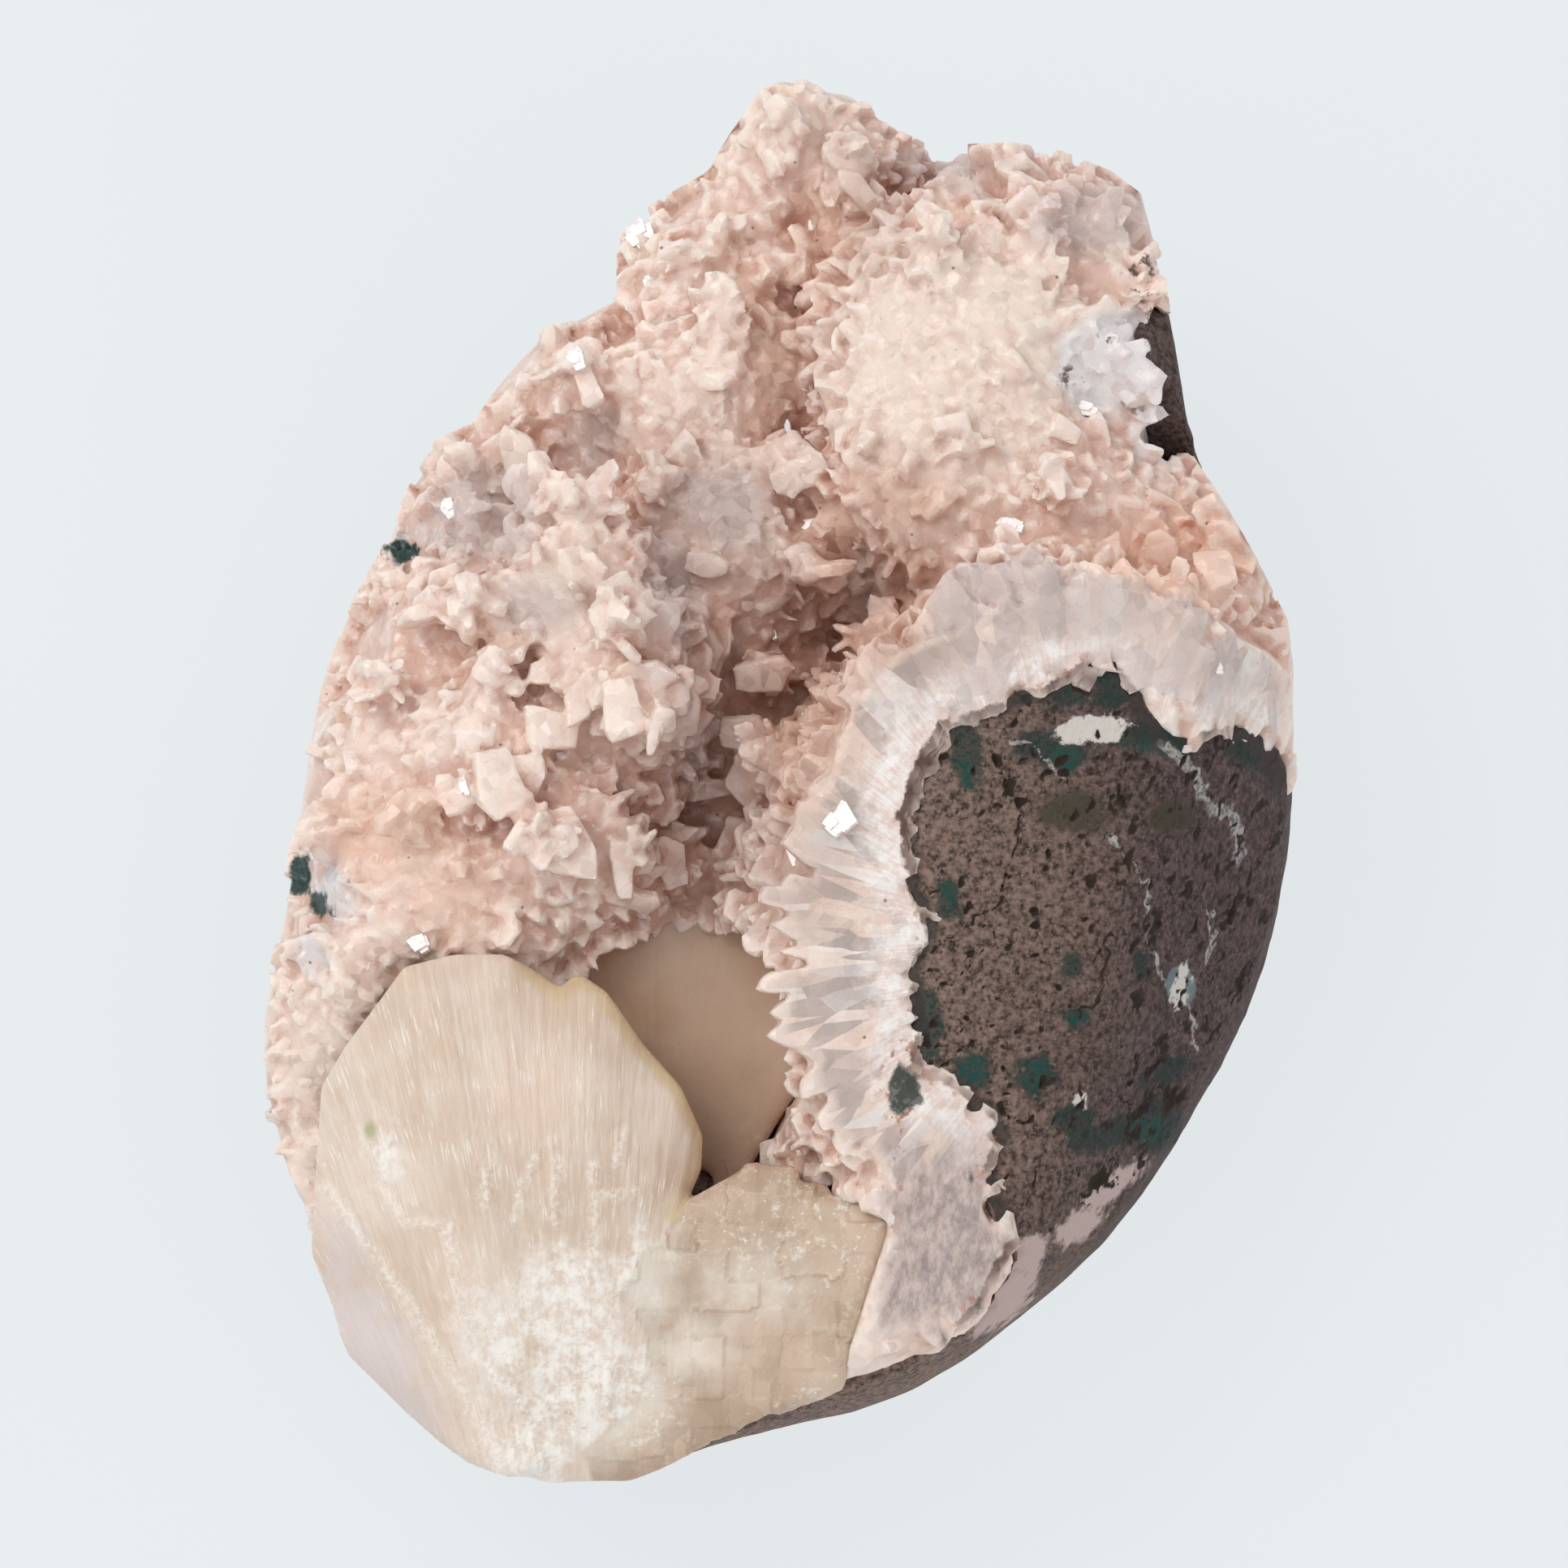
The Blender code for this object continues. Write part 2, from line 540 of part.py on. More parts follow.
def add_collection(name):
    collection = bpy.data.collections.new(name)
    bpy.context.scene.collection.children.link(collection)
    return collection


def main():
    for obj in list(bpy.data.objects):
        bpy.data.objects.remove(obj)
    parts = add_collection("heulandite cluster")
    cutters = add_collection("cutters")
    boulder = add_boulder(cutters)
    grown_core = add_core("grown_core", GAP, cutters)
    sheaf, blade, rooms = add_stilbites(boulder, grown_core, parts, cutters)
    matrix = add_matrix(boulder, add_core("core", 0, cutters), parts)
    crust = add_crust(boulder, grown_core, rooms, [sheaf, blade], parts, cutters)
    set_material(matrix, "basalt", BASALT)
    set_material(crust, "heulandite", HEULANDITE)
    set_material(sheaf, "stilbite", STILBITE)
    set_material(blade, "stilbite blade", STILBITE)
    for obj in list(cutters.objects):
        obj.hide_render = True
        obj.display_type = "WIRE"
    for obj in list(bpy.data.objects):
        obj.data.transform(Matrix.Scale(MM, 4))


if __name__ == "__main__":
    main()
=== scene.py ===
# Looks of the heulandite cluster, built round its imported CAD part.
import math

import bmesh
import bpy
import numpy as np
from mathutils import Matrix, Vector, noise
from mathutils.bvhtree import BVHTree


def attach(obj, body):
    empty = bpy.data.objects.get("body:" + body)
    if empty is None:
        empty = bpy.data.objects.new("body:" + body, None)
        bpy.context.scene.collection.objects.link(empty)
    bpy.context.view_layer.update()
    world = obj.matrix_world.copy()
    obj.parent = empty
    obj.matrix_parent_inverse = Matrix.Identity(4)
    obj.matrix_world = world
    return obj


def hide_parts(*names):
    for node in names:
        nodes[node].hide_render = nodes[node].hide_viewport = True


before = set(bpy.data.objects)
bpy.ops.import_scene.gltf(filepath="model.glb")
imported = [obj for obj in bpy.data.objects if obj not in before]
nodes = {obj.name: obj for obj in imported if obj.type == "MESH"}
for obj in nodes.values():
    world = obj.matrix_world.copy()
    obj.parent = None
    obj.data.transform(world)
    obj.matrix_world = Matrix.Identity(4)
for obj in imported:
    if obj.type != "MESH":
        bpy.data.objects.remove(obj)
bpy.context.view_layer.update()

mm = 0.001
noise.seed_set(5)  # else the noise differs from run to run

# The specimen is seen from one point, and places on it are given as they look from there, in mm:
# right and up of the middle of the view. The same view is the camera's.
view = {"elevation": 72, "distance": 966.0, "target": (0, 0, 42.0), "lens": 180, "sensor": 36}
elevation = math.radians(view["elevation"])
middle = np.array(view["target"])
toEye = np.array((0, -math.cos(elevation), math.sin(elevation)))
upView = np.array((0, math.sin(elevation), math.cos(elevation)))
eye = middle + view["distance"] * toEye

# The two facets that are ground on the front: a point (right, up, height), and the way it faces.
facets = [((14, -5, 73), (0.27, -0.04, 0.96)), ((50, -8, 57), (0.80, -0.22, 0.56))]

# Outline of the bare basalt on them (right, up).
bareBasalt = [
    (37.4, 14.6), (32.4, 11.6), (27.9, 9.8), (23.9, 8.4), (19.4, 7.1), (16.4, 2.6), (14.6, -3.9),
    (15.9, -12.4), (18.4, -18.4), (16, -22.4), (16.6, -29.4), (16.2, -35.9), (19.9, -36.4),
    (24.9, -39.9), (27.4, -43.4), (24.9, -47.4), (26.9, -52.4), (29.6, -54.4), (26.4, -59.4),
    (23.5, -64.4), (20, -68), (17.5, -72), (17, -100), (95, -100), (95, -3), (64.6, -2.4), (61.4, -0.9),
    (59.4, 3.6), (56.9, 6.1), (53.4, 6.6), (50.4, 5.1), (46.9, 5.4), (44.4, 8.1), (42.9, 11.6),
    (40.9, 14.1),
]

# Outline of the whole specimen (right, up): nothing grows past it.
silhouette = [
    (2, 87), (8.5, 85), (13, 80.5), (18, 78), (28, 78.5), (34, 77.5), (40, 75), (44, 72), (46, 67),
    (47.5, 54), (50, 40), (54, 34), (57.5, 28), (61.5, 20), (63, 9), (64.5, -3), (63, -13), (59.5, -21),
    (56, -29.5), (51, -38), (45.5, -46), (39, -54), (32, -60.5), (25, -66.5), (16, -71.5), (3, -76),
    (-10, -81), (-22, -86.5), (-27, -86), (-36, -86), (-41, -83), (-47, -78), (-53, -73), (-57, -66),
    (-58, -58), (-62.5, -47), (-64, -36), (-64, -30), (-62, -18), (-60, -5), (-58, 6), (-54, 20),
    (-49, 29), (-46, 36), (-42.5, 42), (-38, 44), (-32.5, 52), (-27.5, 57.5), (-20, 59.5), (-20, 67),
    (-16, 71), (-9, 75), (-6, 80), (-2.5, 85),
]


def seenAt(points):  # mm in the model -> right and up in the view
    away = points - eye
    scale = view["distance"] / -(away @ toEye)
    return np.stack((away[:, 0] * scale, (away @ upView) * scale), axis=1)


def lineTo(right, up):  # from the eye through a place in the view
    return middle + np.array((right, 0, 0)) + upView * up - eye


def placed(right, up, height):
    line = lineTo(right, up)
    return eye + line * ((height - eye[2]) / line[2])


def unit(vectors):  # each of them made 1 long
    return vectors / np.linalg.norm(vectors, axis=-1, keepdims=True)


def moves(steps):  # steps in the view (right, up) as steps in the model
    return steps[:, :1] * np.array((1, 0, 0)) + steps[:, 1:] * upView


def fromView(right, up, forward):
    return unit(np.array((right, 0, 0)) + upView * up + toEye * forward)


facetPlanes = [(placed(*spot), fromView(*facing)) for spot, facing in facets]


def overFacets(points):  # how far each point stands out of the ground front
    return np.max([(points - spot) @ normal for spot, normal in facetPlanes], axis=0)


def smooth(low, high, values):
    share = np.clip((values - low) / (high - low), 0, 1)
    return share * share * (3 - 2 * share)


def towardsLine(seen, line):  # the way to the nearest point of an open line
    way = np.full((len(seen), 2), 1e9)
    for start, end in zip(np.array(line[:-1], float), np.array(line[1:], float)):
        side = end - start
        share = np.clip(((seen - start) @ side) / max(side @ side, 1e-9), 0, 1)
        found = start + share[:, None] * side - seen
        nearer = np.linalg.norm(found, axis=1) < np.linalg.norm(way, axis=1)
        way[nearer] = found[nearer]
    return way


def fromLine(seen, line):
    return np.linalg.norm(towardsLine(seen, line), axis=1)


def fromLines(seen, lines):
    return np.minimum.reduce([fromLine(seen, line) for line in lines])


def insideBy(seen, corners):  # distance to a closed outline, positive inside it
    inside = np.zeros(len(seen), bool)
    for start, end in zip(corners, corners[1:] + corners[:1]):
        crosses = (start[1] > seen[:, 1]) != (end[1] > seen[:, 1])
        rise = end[1] - start[1] if end[1] != start[1] else 1e-9
        inside ^= crosses & (seen[:, 0] < start[0] + (seen[:, 1] - start[1]) / rise * (end[0] - start[0]))
    away = fromLine(seen, corners + corners[:1])
    return np.where(inside, away, -away)


def spots(seen, places):  # about how far inside an oval spot each point lies, in mm, negative outside
    value = np.full(len(seen), -1e9)
    for right, up, halfWidth, halfHeight, *turn in places:
        angle = math.radians(turn[0] if turn else 0)
        across = (seen[:, 0] - right) * math.cos(angle) + (seen[:, 1] - up) * math.sin(angle)
        along = (seen[:, 1] - up) * math.cos(angle) - (seen[:, 0] - right) * math.sin(angle)
        reach = np.hypot(across / halfWidth, along / halfHeight)
        value = np.maximum(value, (1 - reach) * min(halfWidth, halfHeight))
    return value


def noiseAt(points, grain, seed=0.0):  # smooth noise, about -1 to 1, features of one grain in mm
    shift = Vector((seed, 2 * seed, -seed))
    return np.array([noise.noise(Vector(point) / grain + shift) for point in points])


def linked(name, data):  # a new object in the scene
    piece = bpy.data.objects.new(name, data)
    bpy.context.scene.collection.objects.link(piece)
    return piece


def change(piece, kind, **settings):  # gives the piece the mesh that a modifier makes of its own
    modifier = piece.modifiers.new(kind, kind)
    for key, value in settings.items():
        setattr(modifier, key, value)
    graph = bpy.context.evaluated_depsgraph_get()
    mesh = bpy.data.meshes.new_from_object(piece.evaluated_get(graph))
    piece.modifiers.clear()
    piece.data = mesh


def refinedCopy(name, node, voxel):  # an even mesh of a CAD node's shape
    bm = bmesh.new()
    bm.from_mesh(nodes[node].data)
    bmesh.ops.remove_doubles(bm, verts=bm.verts, dist=1e-6)
    mesh = bpy.data.meshes.new(name)
    bm.to_mesh(mesh)
    bm.free()
    piece = linked(name, mesh)
    change(piece, "REMESH", mode="VOXEL", voxel_size=voxel * mm)
    piece.data.materials.clear()
    return piece


def pointsOf(piece):
    points = np.empty(len(piece.data.vertices) * 3, np.float32)
    piece.data.vertices.foreach_get("co", points)
    return points.reshape(-1, 3).astype(float) / mm


def normalsOf(piece):
    normals = np.empty(len(piece.data.vertices) * 3, np.float32)
    piece.data.vertex_normals.foreach_get("vector", normals)
    return normals.reshape(-1, 3).astype(float)


def setPoints(piece, points):
    piece.data.vertices.foreach_set("co", (points * mm).astype(np.float32).ravel())
    piece.data.update()


def setValues(piece, name, values):
    layer = piece.data.attributes.new(name, "FLOAT", "POINT")
    layer.data.foreach_set("value", np.asarray(values, np.float32))


def edgesOf(piece):  # both ends of the edges, and the number of edges at each point
    edges = np.empty(len(piece.data.edges) * 2, np.int32)
    piece.data.edges.foreach_get("vertices", edges)
    return (*edges.reshape(-1, 2).T, np.bincount(edges, minlength=len(piece.data.vertices)))


def averaged(values, first, second, count):  # the mean of each point's neighbours
    number = len(values)
    return (np.bincount(first, values[second], number) + np.bincount(second, values[first], number)) / count


def evened(piece, turns, strength):  # moves points towards their neighbours, by one strength or one for each
    edges = edgesOf(piece)
    points = pointsOf(piece)
    strength = np.broadcast_to(strength, len(points))[:, None]
    for turn in range(turns):
        means = np.stack([averaged(points[:, axis], *edges) for axis in range(3)], axis=1)
        points += (means - points) * strength
    return points


def spread(piece, values, turns):  # the same evening for a value
    edges = edgesOf(piece)
    for turn in range(turns):
        values = averaged(values, *edges)
    return values


# A material, with short ways to add its nodes. A value may be a number, a colour or another node's output.
class Paint:
    def __init__(self, name, look=None):
        self.look = look
        self.material = bpy.data.materials.new(name)
        self.material.use_nodes = True
        self.material.node_tree.nodes.clear()

    def add(self, kind, values=(), **settings):
        tree = self.material.node_tree
        node = tree.nodes.new(kind)
        for key, value in settings.items():
            setattr(node, key, value)
        for key, value in dict(values).items():
            if isinstance(value, bpy.types.NodeSocket):
                tree.links.new(value, node.inputs[key])
            else:
                node.inputs[key].default_value = value
        return node

    def attribute(self, name):
        return self.add("ShaderNodeAttribute", attribute_name=name).outputs["Fac"]

    def place(self, stretch=(1, 1, 1), turn=(0, 0, 0)):
        here = self.add("ShaderNodeTexCoord").outputs["Object"]
        return self.add("ShaderNodeMapping", {"Vector": here, "Scale": stretch, "Rotation": turn}).outputs[0]

    def cloud(self, where, grain, detail=3.0, roughness=0.55):  # grain is the size of its features in mm
        values = {"Vector": where, "Scale": 1 / (grain * mm), "Detail": detail, "Roughness": roughness}
        return self.add("ShaderNodeTexNoise", values).outputs["Fac"]

    def cells(self, where, grain):
        values = {"Vector": where, "Scale": 1 / (grain * mm)}
        return self.add("ShaderNodeTexVoronoi", values).outputs["Distance"]

    def between(self, value, low, high, start=0.0, end=1.0):  # low to high becomes start to end
        values = {"Value": value, "From Min": low, "From Max": high, "To Min": start, "To Max": end}
        return self.add("ShaderNodeMapRange", values, interpolation_type="SMOOTHSTEP").outputs["Result"]

    def times(self, first, second, plus=0.0):
        values = {0: first, 1: second, 2: plus}
        return self.add("ShaderNodeMath", values, operation="MULTIPLY_ADD").outputs[0]

    def mixed(self, share, first, second, blend="MIX"):
        values = {0: share, 6: first, 7: second}
        return self.add("ShaderNodeMix", values, data_type="RGBA", blend_type=blend).outputs[2]

    def coat(self, share, colour, blend="MIX"):  # lays a key of the look, or a node's colour, over the colour
        colour = self.look[colour] if isinstance(colour, str) else colour
        self.colour = self.mixed(share, self.colour, colour, blend)

    def tone(self, value):  # makes the material's colour lighter or darker
        grey = self.add("ShaderNodeCombineColor", {"Red": value, "Green": value, "Blue": value}).outputs[0]
        self.colour = self.mixed(1.0, self.colour, grey, "MULTIPLY")

    def joined(self, first, second):
        return self.add("ShaderNodeCombineXYZ", {"X": first, "Y": second}).outputs[0]

    def vectors(self, operation, first, second):
        return self.add("ShaderNodeVectorMath", {0: first, 1: second}, operation=operation)

    def bumped(self, height, strength, distance):
        values = {"Height": height, "Strength": strength, "Distance": distance * mm}
        return self.add("ShaderNodeBump", values).outputs["Normal"]

    def finished(self, values):
        shader = self.add("ShaderNodeBsdfPrincipled", values)
        self.add("ShaderNodeOutputMaterial", {"Surface": shader.outputs["BSDF"]})
        return self.material


# Basalt. pitSize is the least half width in mm, and the shape and scale of what is added to it by chance.
basaltLook = {
    "voxel": 1.1, "warm": (0.185, 0.122, 0.096, 1), "cool": (0.078, 0.050, 0.046, 1),
    "grain": (0.25, 0.19, 0.17, 1), "pit": (0.034, 0.022, 0.016, 1), "green": (0.014, 0.036, 0.031, 1),
    "brightGreen": (0.017, 0.064, 0.053, 1), "olive": (0.055, 0.048, 0.030, 1),
    "vein": (0.40, 0.37, 0.35, 1), "white": (0.62, 0.55, 0.50, 1), "pink": (0.50, 0.37, 0.34, 1),
    "greyFill": (0.16, 0.19, 0.19, 1), "line": (0.045, 0.036, 0.032, 1), "pits": 900, "rightPits": 260,
    "pitSize": (0.14, 1.2, 0.15),
}
# Oval spots on the basalt: middle (right, up), half width, half height and turn.
basaltPlaces = {
    "green": [
        (22.4, 4.0, 2.0, 4.0, 10), (34.4, 3.6, 3.8, 2.0), (30.4, 5.0, 3, 1.6, 20), (45.4, 6.0, 5, 1.8, -8),
        (20.4, -14.4, 1.6, 2.5), (17.4, -29.4, 2.4, 4.5, 10), (22.9, -35.6, 2.6, 2.8),
        (31.0, -35.9, 2.8, 2.3), (36.2, -28.6, 1.7, 1.1), (41, -43.0, 6.5, 1.8, 15), (46, -42, 3, 3.5),
        (35.4, -22.4, 1.2, 1.6), (43.9, -22.4, 1.2, 1.6), (57.4, 3.4, 3.2, 1.6, -30), (40.5, 12, 2.5, 3.0),
        (35, 11.2, 3.0, 1.6, 20), (36, -41.5, 3.0, 2.0), (26, -62, 5, 3), (29, -58, 4, 2.5),
        (47, -35.5, 3, 1.5, 30),
    ],
    "bright": [
        (22.4, 1.4, 0.7, 1.6), (34.6, 3.2, 1.6, 1.4), (31.0, -35.9, 1.9, 1.5), (23.2, -35.2, 1.5, 1.6),
        (36.4, -28.7, 1.2, 0.7), (20.4, -13.4, 0.9, 1.2), (44.8, -42.5, 2.0, 1.6), (45, 4.8, 2.4, 0.9, -8),
    ],
    "olive": [(35.4, -3.4, 4.2, 2.4), (14.5, -37.9, 2.3, 4.0), (22.4, -50.4, 0.6, 1.6, 20), (48, -4, 3, 2)],
    "whiteSpot": [
        (38.4, 7.0, 4.2, 1.7, 8), (36, 6.0, 2.2, 1.2), (48.9, -24.9, 1.1, 2.4, -15),
        (36.6, -38.6, 0.8, 1.2),
    ],
    "pinkSpot": [
        (36.4, -54.4, 3.6, 1.6, 40), (26.4, -63.4, 5.5, 3.0, 40), (30, -58, 3, 2, 40),
        (40, -50, 5, 1.2, 40),
    ],
    "greySpot": [(48.9, -24.9, 1.9, 2.5, 10)],
}
# Veins and cracks: lines of points (right, up).
basaltLines = {
    "vein": [
        [(26.4, 6.6), (28.9, 5.1), (31.4, 4.1), (34.4, 0.6)],
        [(39.9, -5.9), (41.4, -8.0), (43.4, -10.4), (44.6, -12.4), (44.9, -14.4), (44.9, -19.4),
         (46.9, -24.9)],
        [(52.4, -15.4), (52.9, -19.4), (52.2, -22)], [(49.4, -27), (50.4, -29.5), (50.9, -33)],
    ],
    "wideVein": [
        [(47.0, 4.6), (50.0, 2.6), (51.2, -0.6), (52.6, -3.0), (55.4, -3.6), (56.0, -6.5), (55.9, -9.4)],
    ],
    "crack": [
        [(29.4, -2.4), (28.4, -7.4), (26.9, -14.4), (21.4, -18.4), (16.4, -21.9)],
        [(40.4, -18.4), (38.9, -26.4), (36.4, -28.4)], [(44, -33.4), (42, -38), (42.6, -43)],
    ],
}


def makeBasalt():
    piece = refinedCopy("basalt", "basalt_matrix", basaltLook["voxel"])
    refineFront(piece)
    points = evened(piece, 2, 0.5)
    setPoints(piece, points)
    normals = normalsOf(piece)
    seen = seenAt(points)
    front = smooth(-1.2, -0.4, overFacets(points)) * (normals[:, 2] > 0.1)
    source = np.random.default_rng(11)
    lowered = np.zeros(len(points))  # how deep each point lies under the ground face
    pit = np.full(len(points), -9.0)
    least, shape, scale = basaltLook["pitSize"]
    uneven = noiseAt(points, 0.8, 2.0) * 0.5
    bent = seen + vectorNoise(points, 1.3, 5.0)[:, :2] * 0.9
    holes = source.uniform((14, -70), (66, 14), (basaltLook["pits"], 2))
    for hole in np.concatenate((holes, source.uniform((40, -60), (66, 4), (basaltLook["rightPits"], 2)))):
        radius = least + source.gamma(shape, scale)
        slant = smooth(26, 58, hole[0])
        turn = source.uniform(-70, 40) * (1 - slant) - 24 * slant
        oval = (*hole, radius * (1 - 0.4 * slant), radius * (1.15 + 1.2 * slant), turn)
        depth = spots(bent, [oval])
        pit = np.maximum(pit, depth + uneven * min(radius, 0.7))
        lowered += np.clip(depth, 0, 0.7) * 0.9
    crack = fromLines(bent, basaltLines["crack"])
    lowered += 0.3 * smooth(0.4, 0.1, crack)
    rough = noiseAt(points, 6) * 0.25 + noiseAt(points, 2, 4.0) * 0.12
    rim = insideBy(seen, bareBasalt)
    lowered += 0.25 * smooth(-3, -1.5, rim) * smooth(3, 1.5, rim)
    points += normals * (rough * 0.5 - np.minimum(lowered, 1.1) * front)[:, None]
    setPoints(piece, points)
    setValues(piece, "pit", np.where(front > 0.5, pit, -9))
    for key, places in basaltPlaces.items():
        setValues(piece, key, spots(seen, places))
    for key, lines in basaltLines.items():
        setValues(piece, key, fromLines(bent, lines))
    setValues(piece, "rim", np.where((front > 0.5) & (rim > -4), rim, 9))
    piece.data.materials.append(basaltMaterial())
    return piece


def refineFront(piece):
    bm = bmesh.new()
    bm.from_mesh(piece.data)
    centres = np.array([face.calc_center_median() for face in bm.faces]) / mm
    up = np.array([face.normal.z for face in bm.faces])
    chosen = (overFacets(centres) > -1.6) & (up > 0.1)
    edges = {edge for face, wanted in zip(bm.faces, chosen) if wanted for edge in face.edges}
    bmesh.ops.subdivide_edges(bm, edges=list(edges), cuts=2, use_grid_fill=True)
    bm.to_mesh(piece.data)
    bm.free()


def basaltMaterial():
    look = basaltLook
    paint = Paint("basalt", look)
    where = paint.place()
    broad = paint.cloud(where, 26, 2)
    fine = paint.cloud(where, 0.9, 4, 0.7)
    grains = paint.cells(where, 0.8)
    ragged = paint.cloud(where, 2.2, 4, 0.65)
    shift = paint.times(ragged, 3.0, -1.5)
    across = paint.add("ShaderNodeSeparateXYZ", {"Vector": where}).outputs["X"]
    # Painted shade: the basalt is painted darker towards the right, where its face turns away from the light;
    # the same dark tone also makes random mottles.
    cool = paint.between(paint.times(broad, 0.03, across), 0.030, 0.066)
    paint.colour = paint.mixed(cool, look["warm"], look["cool"])
    mottle = paint.cloud(where, 2.6, 4, 0.7)
    paint.coat(paint.between(mottle, 0.46, 0.60, 0, 0.45), "cool")
    tiny = paint.cloud(where, 0.45, 2, 0.6)
    tone = paint.times(paint.between(fine, 0.34, 0.66, 0.5, 1.65), paint.between(mottle, 0.3, 0.7, 0.8, 1.2))
    paint.tone(tone)
    grainShare = paint.times(paint.between(tiny, 0.60, 0.70), paint.between(cool, 0, 1, 0.85, 0.3))
    paint.coat(grainShare, "grain")
    paint.coat(paint.between(fine, 0.44, 0.34, 0, 0.75), "pit")
    speck = paint.between(paint.cells(paint.place((1, 0.6, 1), (0, 0, -0.4)), 1.5), 0.17, 0.10)
    paint.coat(paint.times(speck, 0.8), "pit")

    def grown(name, edge=0.35, jitter=1.0):
        moved = paint.times(shift, jitter, paint.attribute(name))
        return paint.between(moved, -edge, edge)

    def thin(name, width, jitter=0.25):
        moved = paint.times(shift, jitter, paint.attribute(name))
        return paint.between(moved, width, width * 0.4)

    patchy = paint.between(fine, 0.36, 0.58, 0.25, 0.95)
    paint.coat(paint.times(grown("olive", 1.0, 1.8), patchy), "olive")
    paint.coat(paint.times(grown("green", 0.6, 1.7), patchy), "green")
    bright = paint.times(grown("bright", 0.5, 1.2), patchy)
    paint.coat(bright, "brightGreen")
    paint.coat(paint.times(thin("vein", 0.34, 0.3), patchy), "vein")
    paint.coat(paint.times(thin("wideVein", 0.9, 0.8), patchy), "vein")
    paint.coat(grown("greySpot", 0.2, 0.2), "greyFill")
    paint.coat(grown("pinkSpot", 0.4, 1.2), "pink")
    paint.coat(grown("whiteSpot", 0.25, 1.2), "white")
    paint.coat(thin("crack", 0.24, 0.12), "pit")
    paint.coat(paint.between(paint.attribute("pit"), -0.05, 0.12), "pit")
    rim = paint.times(shift, 1.1, paint.attribute("rim"))
    paint.coat(paint.between(rim, 1.5, 0.4, 0, 0.8), "line")
    height = paint.times(grains, 0.6, fine)
    return paint.finished({
        "Base Color": paint.colour, "Roughness": paint.between(fine, 0.3, 0.7, 0.5, 0.8),
        "Specular IOR Level": 0.12, "Normal": paint.bumped(height, 0.5, 0.35),
    })


# Heulandite crust. deep is the darker, redder colour of the painted shade in crevices and hollows, rays and
# reach (mm) tell how openness is measured, and grain and relief are of its facets.
crustLook = {
    "voxel": 0.9, "evening": 9, "deep": (0.72, 0.42, 0.32, 1), "body": (0.755, 0.51, 0.42, 1),
    "tip": (0.86, 0.68, 0.585, 1), "grey": (0.62, 0.50, 0.46, 1), "chalk": (0.80, 0.75, 0.74, 1),
    "section": (0.80, 0.62, 0.55, 1), "rust": (0.42, 0.16, 0.08, 1), "brown": (0.16, 0.09, 0.06, 1),
    "green": (0.012, 0.045, 0.04, 1), "sectionPale": (0.93, 0.86, 0.82, 1), "light": 0.4, "sharp": 32,
    "rays": 12, "reach": 12.0,
    "edge": (0.93, 0.80, 0.72, 1), "gap": (0.60, 0.33, 0.24, 1), "orange": (0.80, 0.50, 0.37, 1),
    "cream": (0.85, 0.70, 0.60, 1), "tooth": (0.80, 0.60, 0.50, 1), "cut": (0.50, 0.40, 0.36, 1),
    "line": (0.11, 0.045, 0.03, 1), "grit": (0.19, 0.20, 0.18, 1), "faded": (0.34, 0.26, 0.245, 1),
    "inclusion": (0.055, 0.058, 0.040, 1), "grain": 1.5, "relief": 0.7, "paintedShade": 0.75,
    "paintedShadeTone": (0.74, 0.70, 0.69, 1),
}
# Oval spots of the crust, given in the same way.
crustPlaces = {
    "grey": [
        (-37, 33, 8, 8), (-30, 22, 7, 5), (-24, 42, 5, 6), (35, 22, 16, 5, -12), (52, 14, 8, 4, -25),
        (38, 70, 10, 6), (20, 76, 9, 4), (-14, 24, 5, 12), (-12, 5, 4, 6), (-8, 34, 8, 6), (10, 25, 3, 8),
    ],
    # Painted shade: spots where the crust lies low in the hollow, darkened as if shaded.
    "paintedShade": [
        (4, 6, 4, 10, -35), (-3, -8, 4, 10), (15, 16, 5, 5), (12, 30, 6, 8), (-9, 33, 9, 13),
        (-3, 12, 13, 12), (-15, -4, 9, 7), (-2, 25, 7, 12), (-1, -8, 9, 9), (0, 48, 4, 9), (10, 71, 5, 8),
    ],
    "pale": [
        (22, 52, 15, 15), (2, 81, 9, 6), (-27, 24, 6, 8), (-25, 8, 6, 8), (10, -22, 9, 24),
        (-56, -40, 6, 12),
    ],
    # Orange spots: the crust's salmon tone; those in the hollow are also painted light over its shade.
    "orange": [
        (6, 68, 4, 6), (10, 24, 8, 12), (14, 35, 8, 5), (2, 8, 6, 12), (-2, 52, 3, 9), (48, 28, 10, 8),
        (10, 7, 5, 5), (-48, -6, 8, 7), (-42, -14, 6, 5),
    ],
    "faded": [(20, -58, 13, 13, 30), (27, -52, 6, 8), (16, -74, 9, 8)],
    "inclusion": [(14.5, -37.9, 2.2, 3.7, 5), (22.5, -49.9, 0.6, 1.5, -15)],
    "rust": [
        (13.6, -36.6, 3.4, 5.2, 5), (46.0, 10.6, 0.9, 0.7), (20.5, -55.5, 0.8, 0.9), (29, -54.6, 0.9, 0.8),
        (14.2, -48.0, 1.8, 2.2),
    ],
    "chalk": [
        (40, 52, 7, 8, -30), (46, 45, 4, 7), (-56, -13, 3, 6, 25), (-58, -21, 2.4, 4, 20),
        (-46, 30.5, 5, 1.6),
    ],
    "brown": [
        (35.4, 50.1, 1.3, 1.3), (44, 62, 1.6, 3), (45.6, 56, 1.2, 3), (40, 55, 0.8, 1.5),
        (43, 47, 1, 2, 30),
    ],
    "green": [(-47, 28.6, 2.4, 1.3), (-59.6, -11.4, 1.4, 2.6), (-57, -15, 2.0, 1.2, -50)],
}


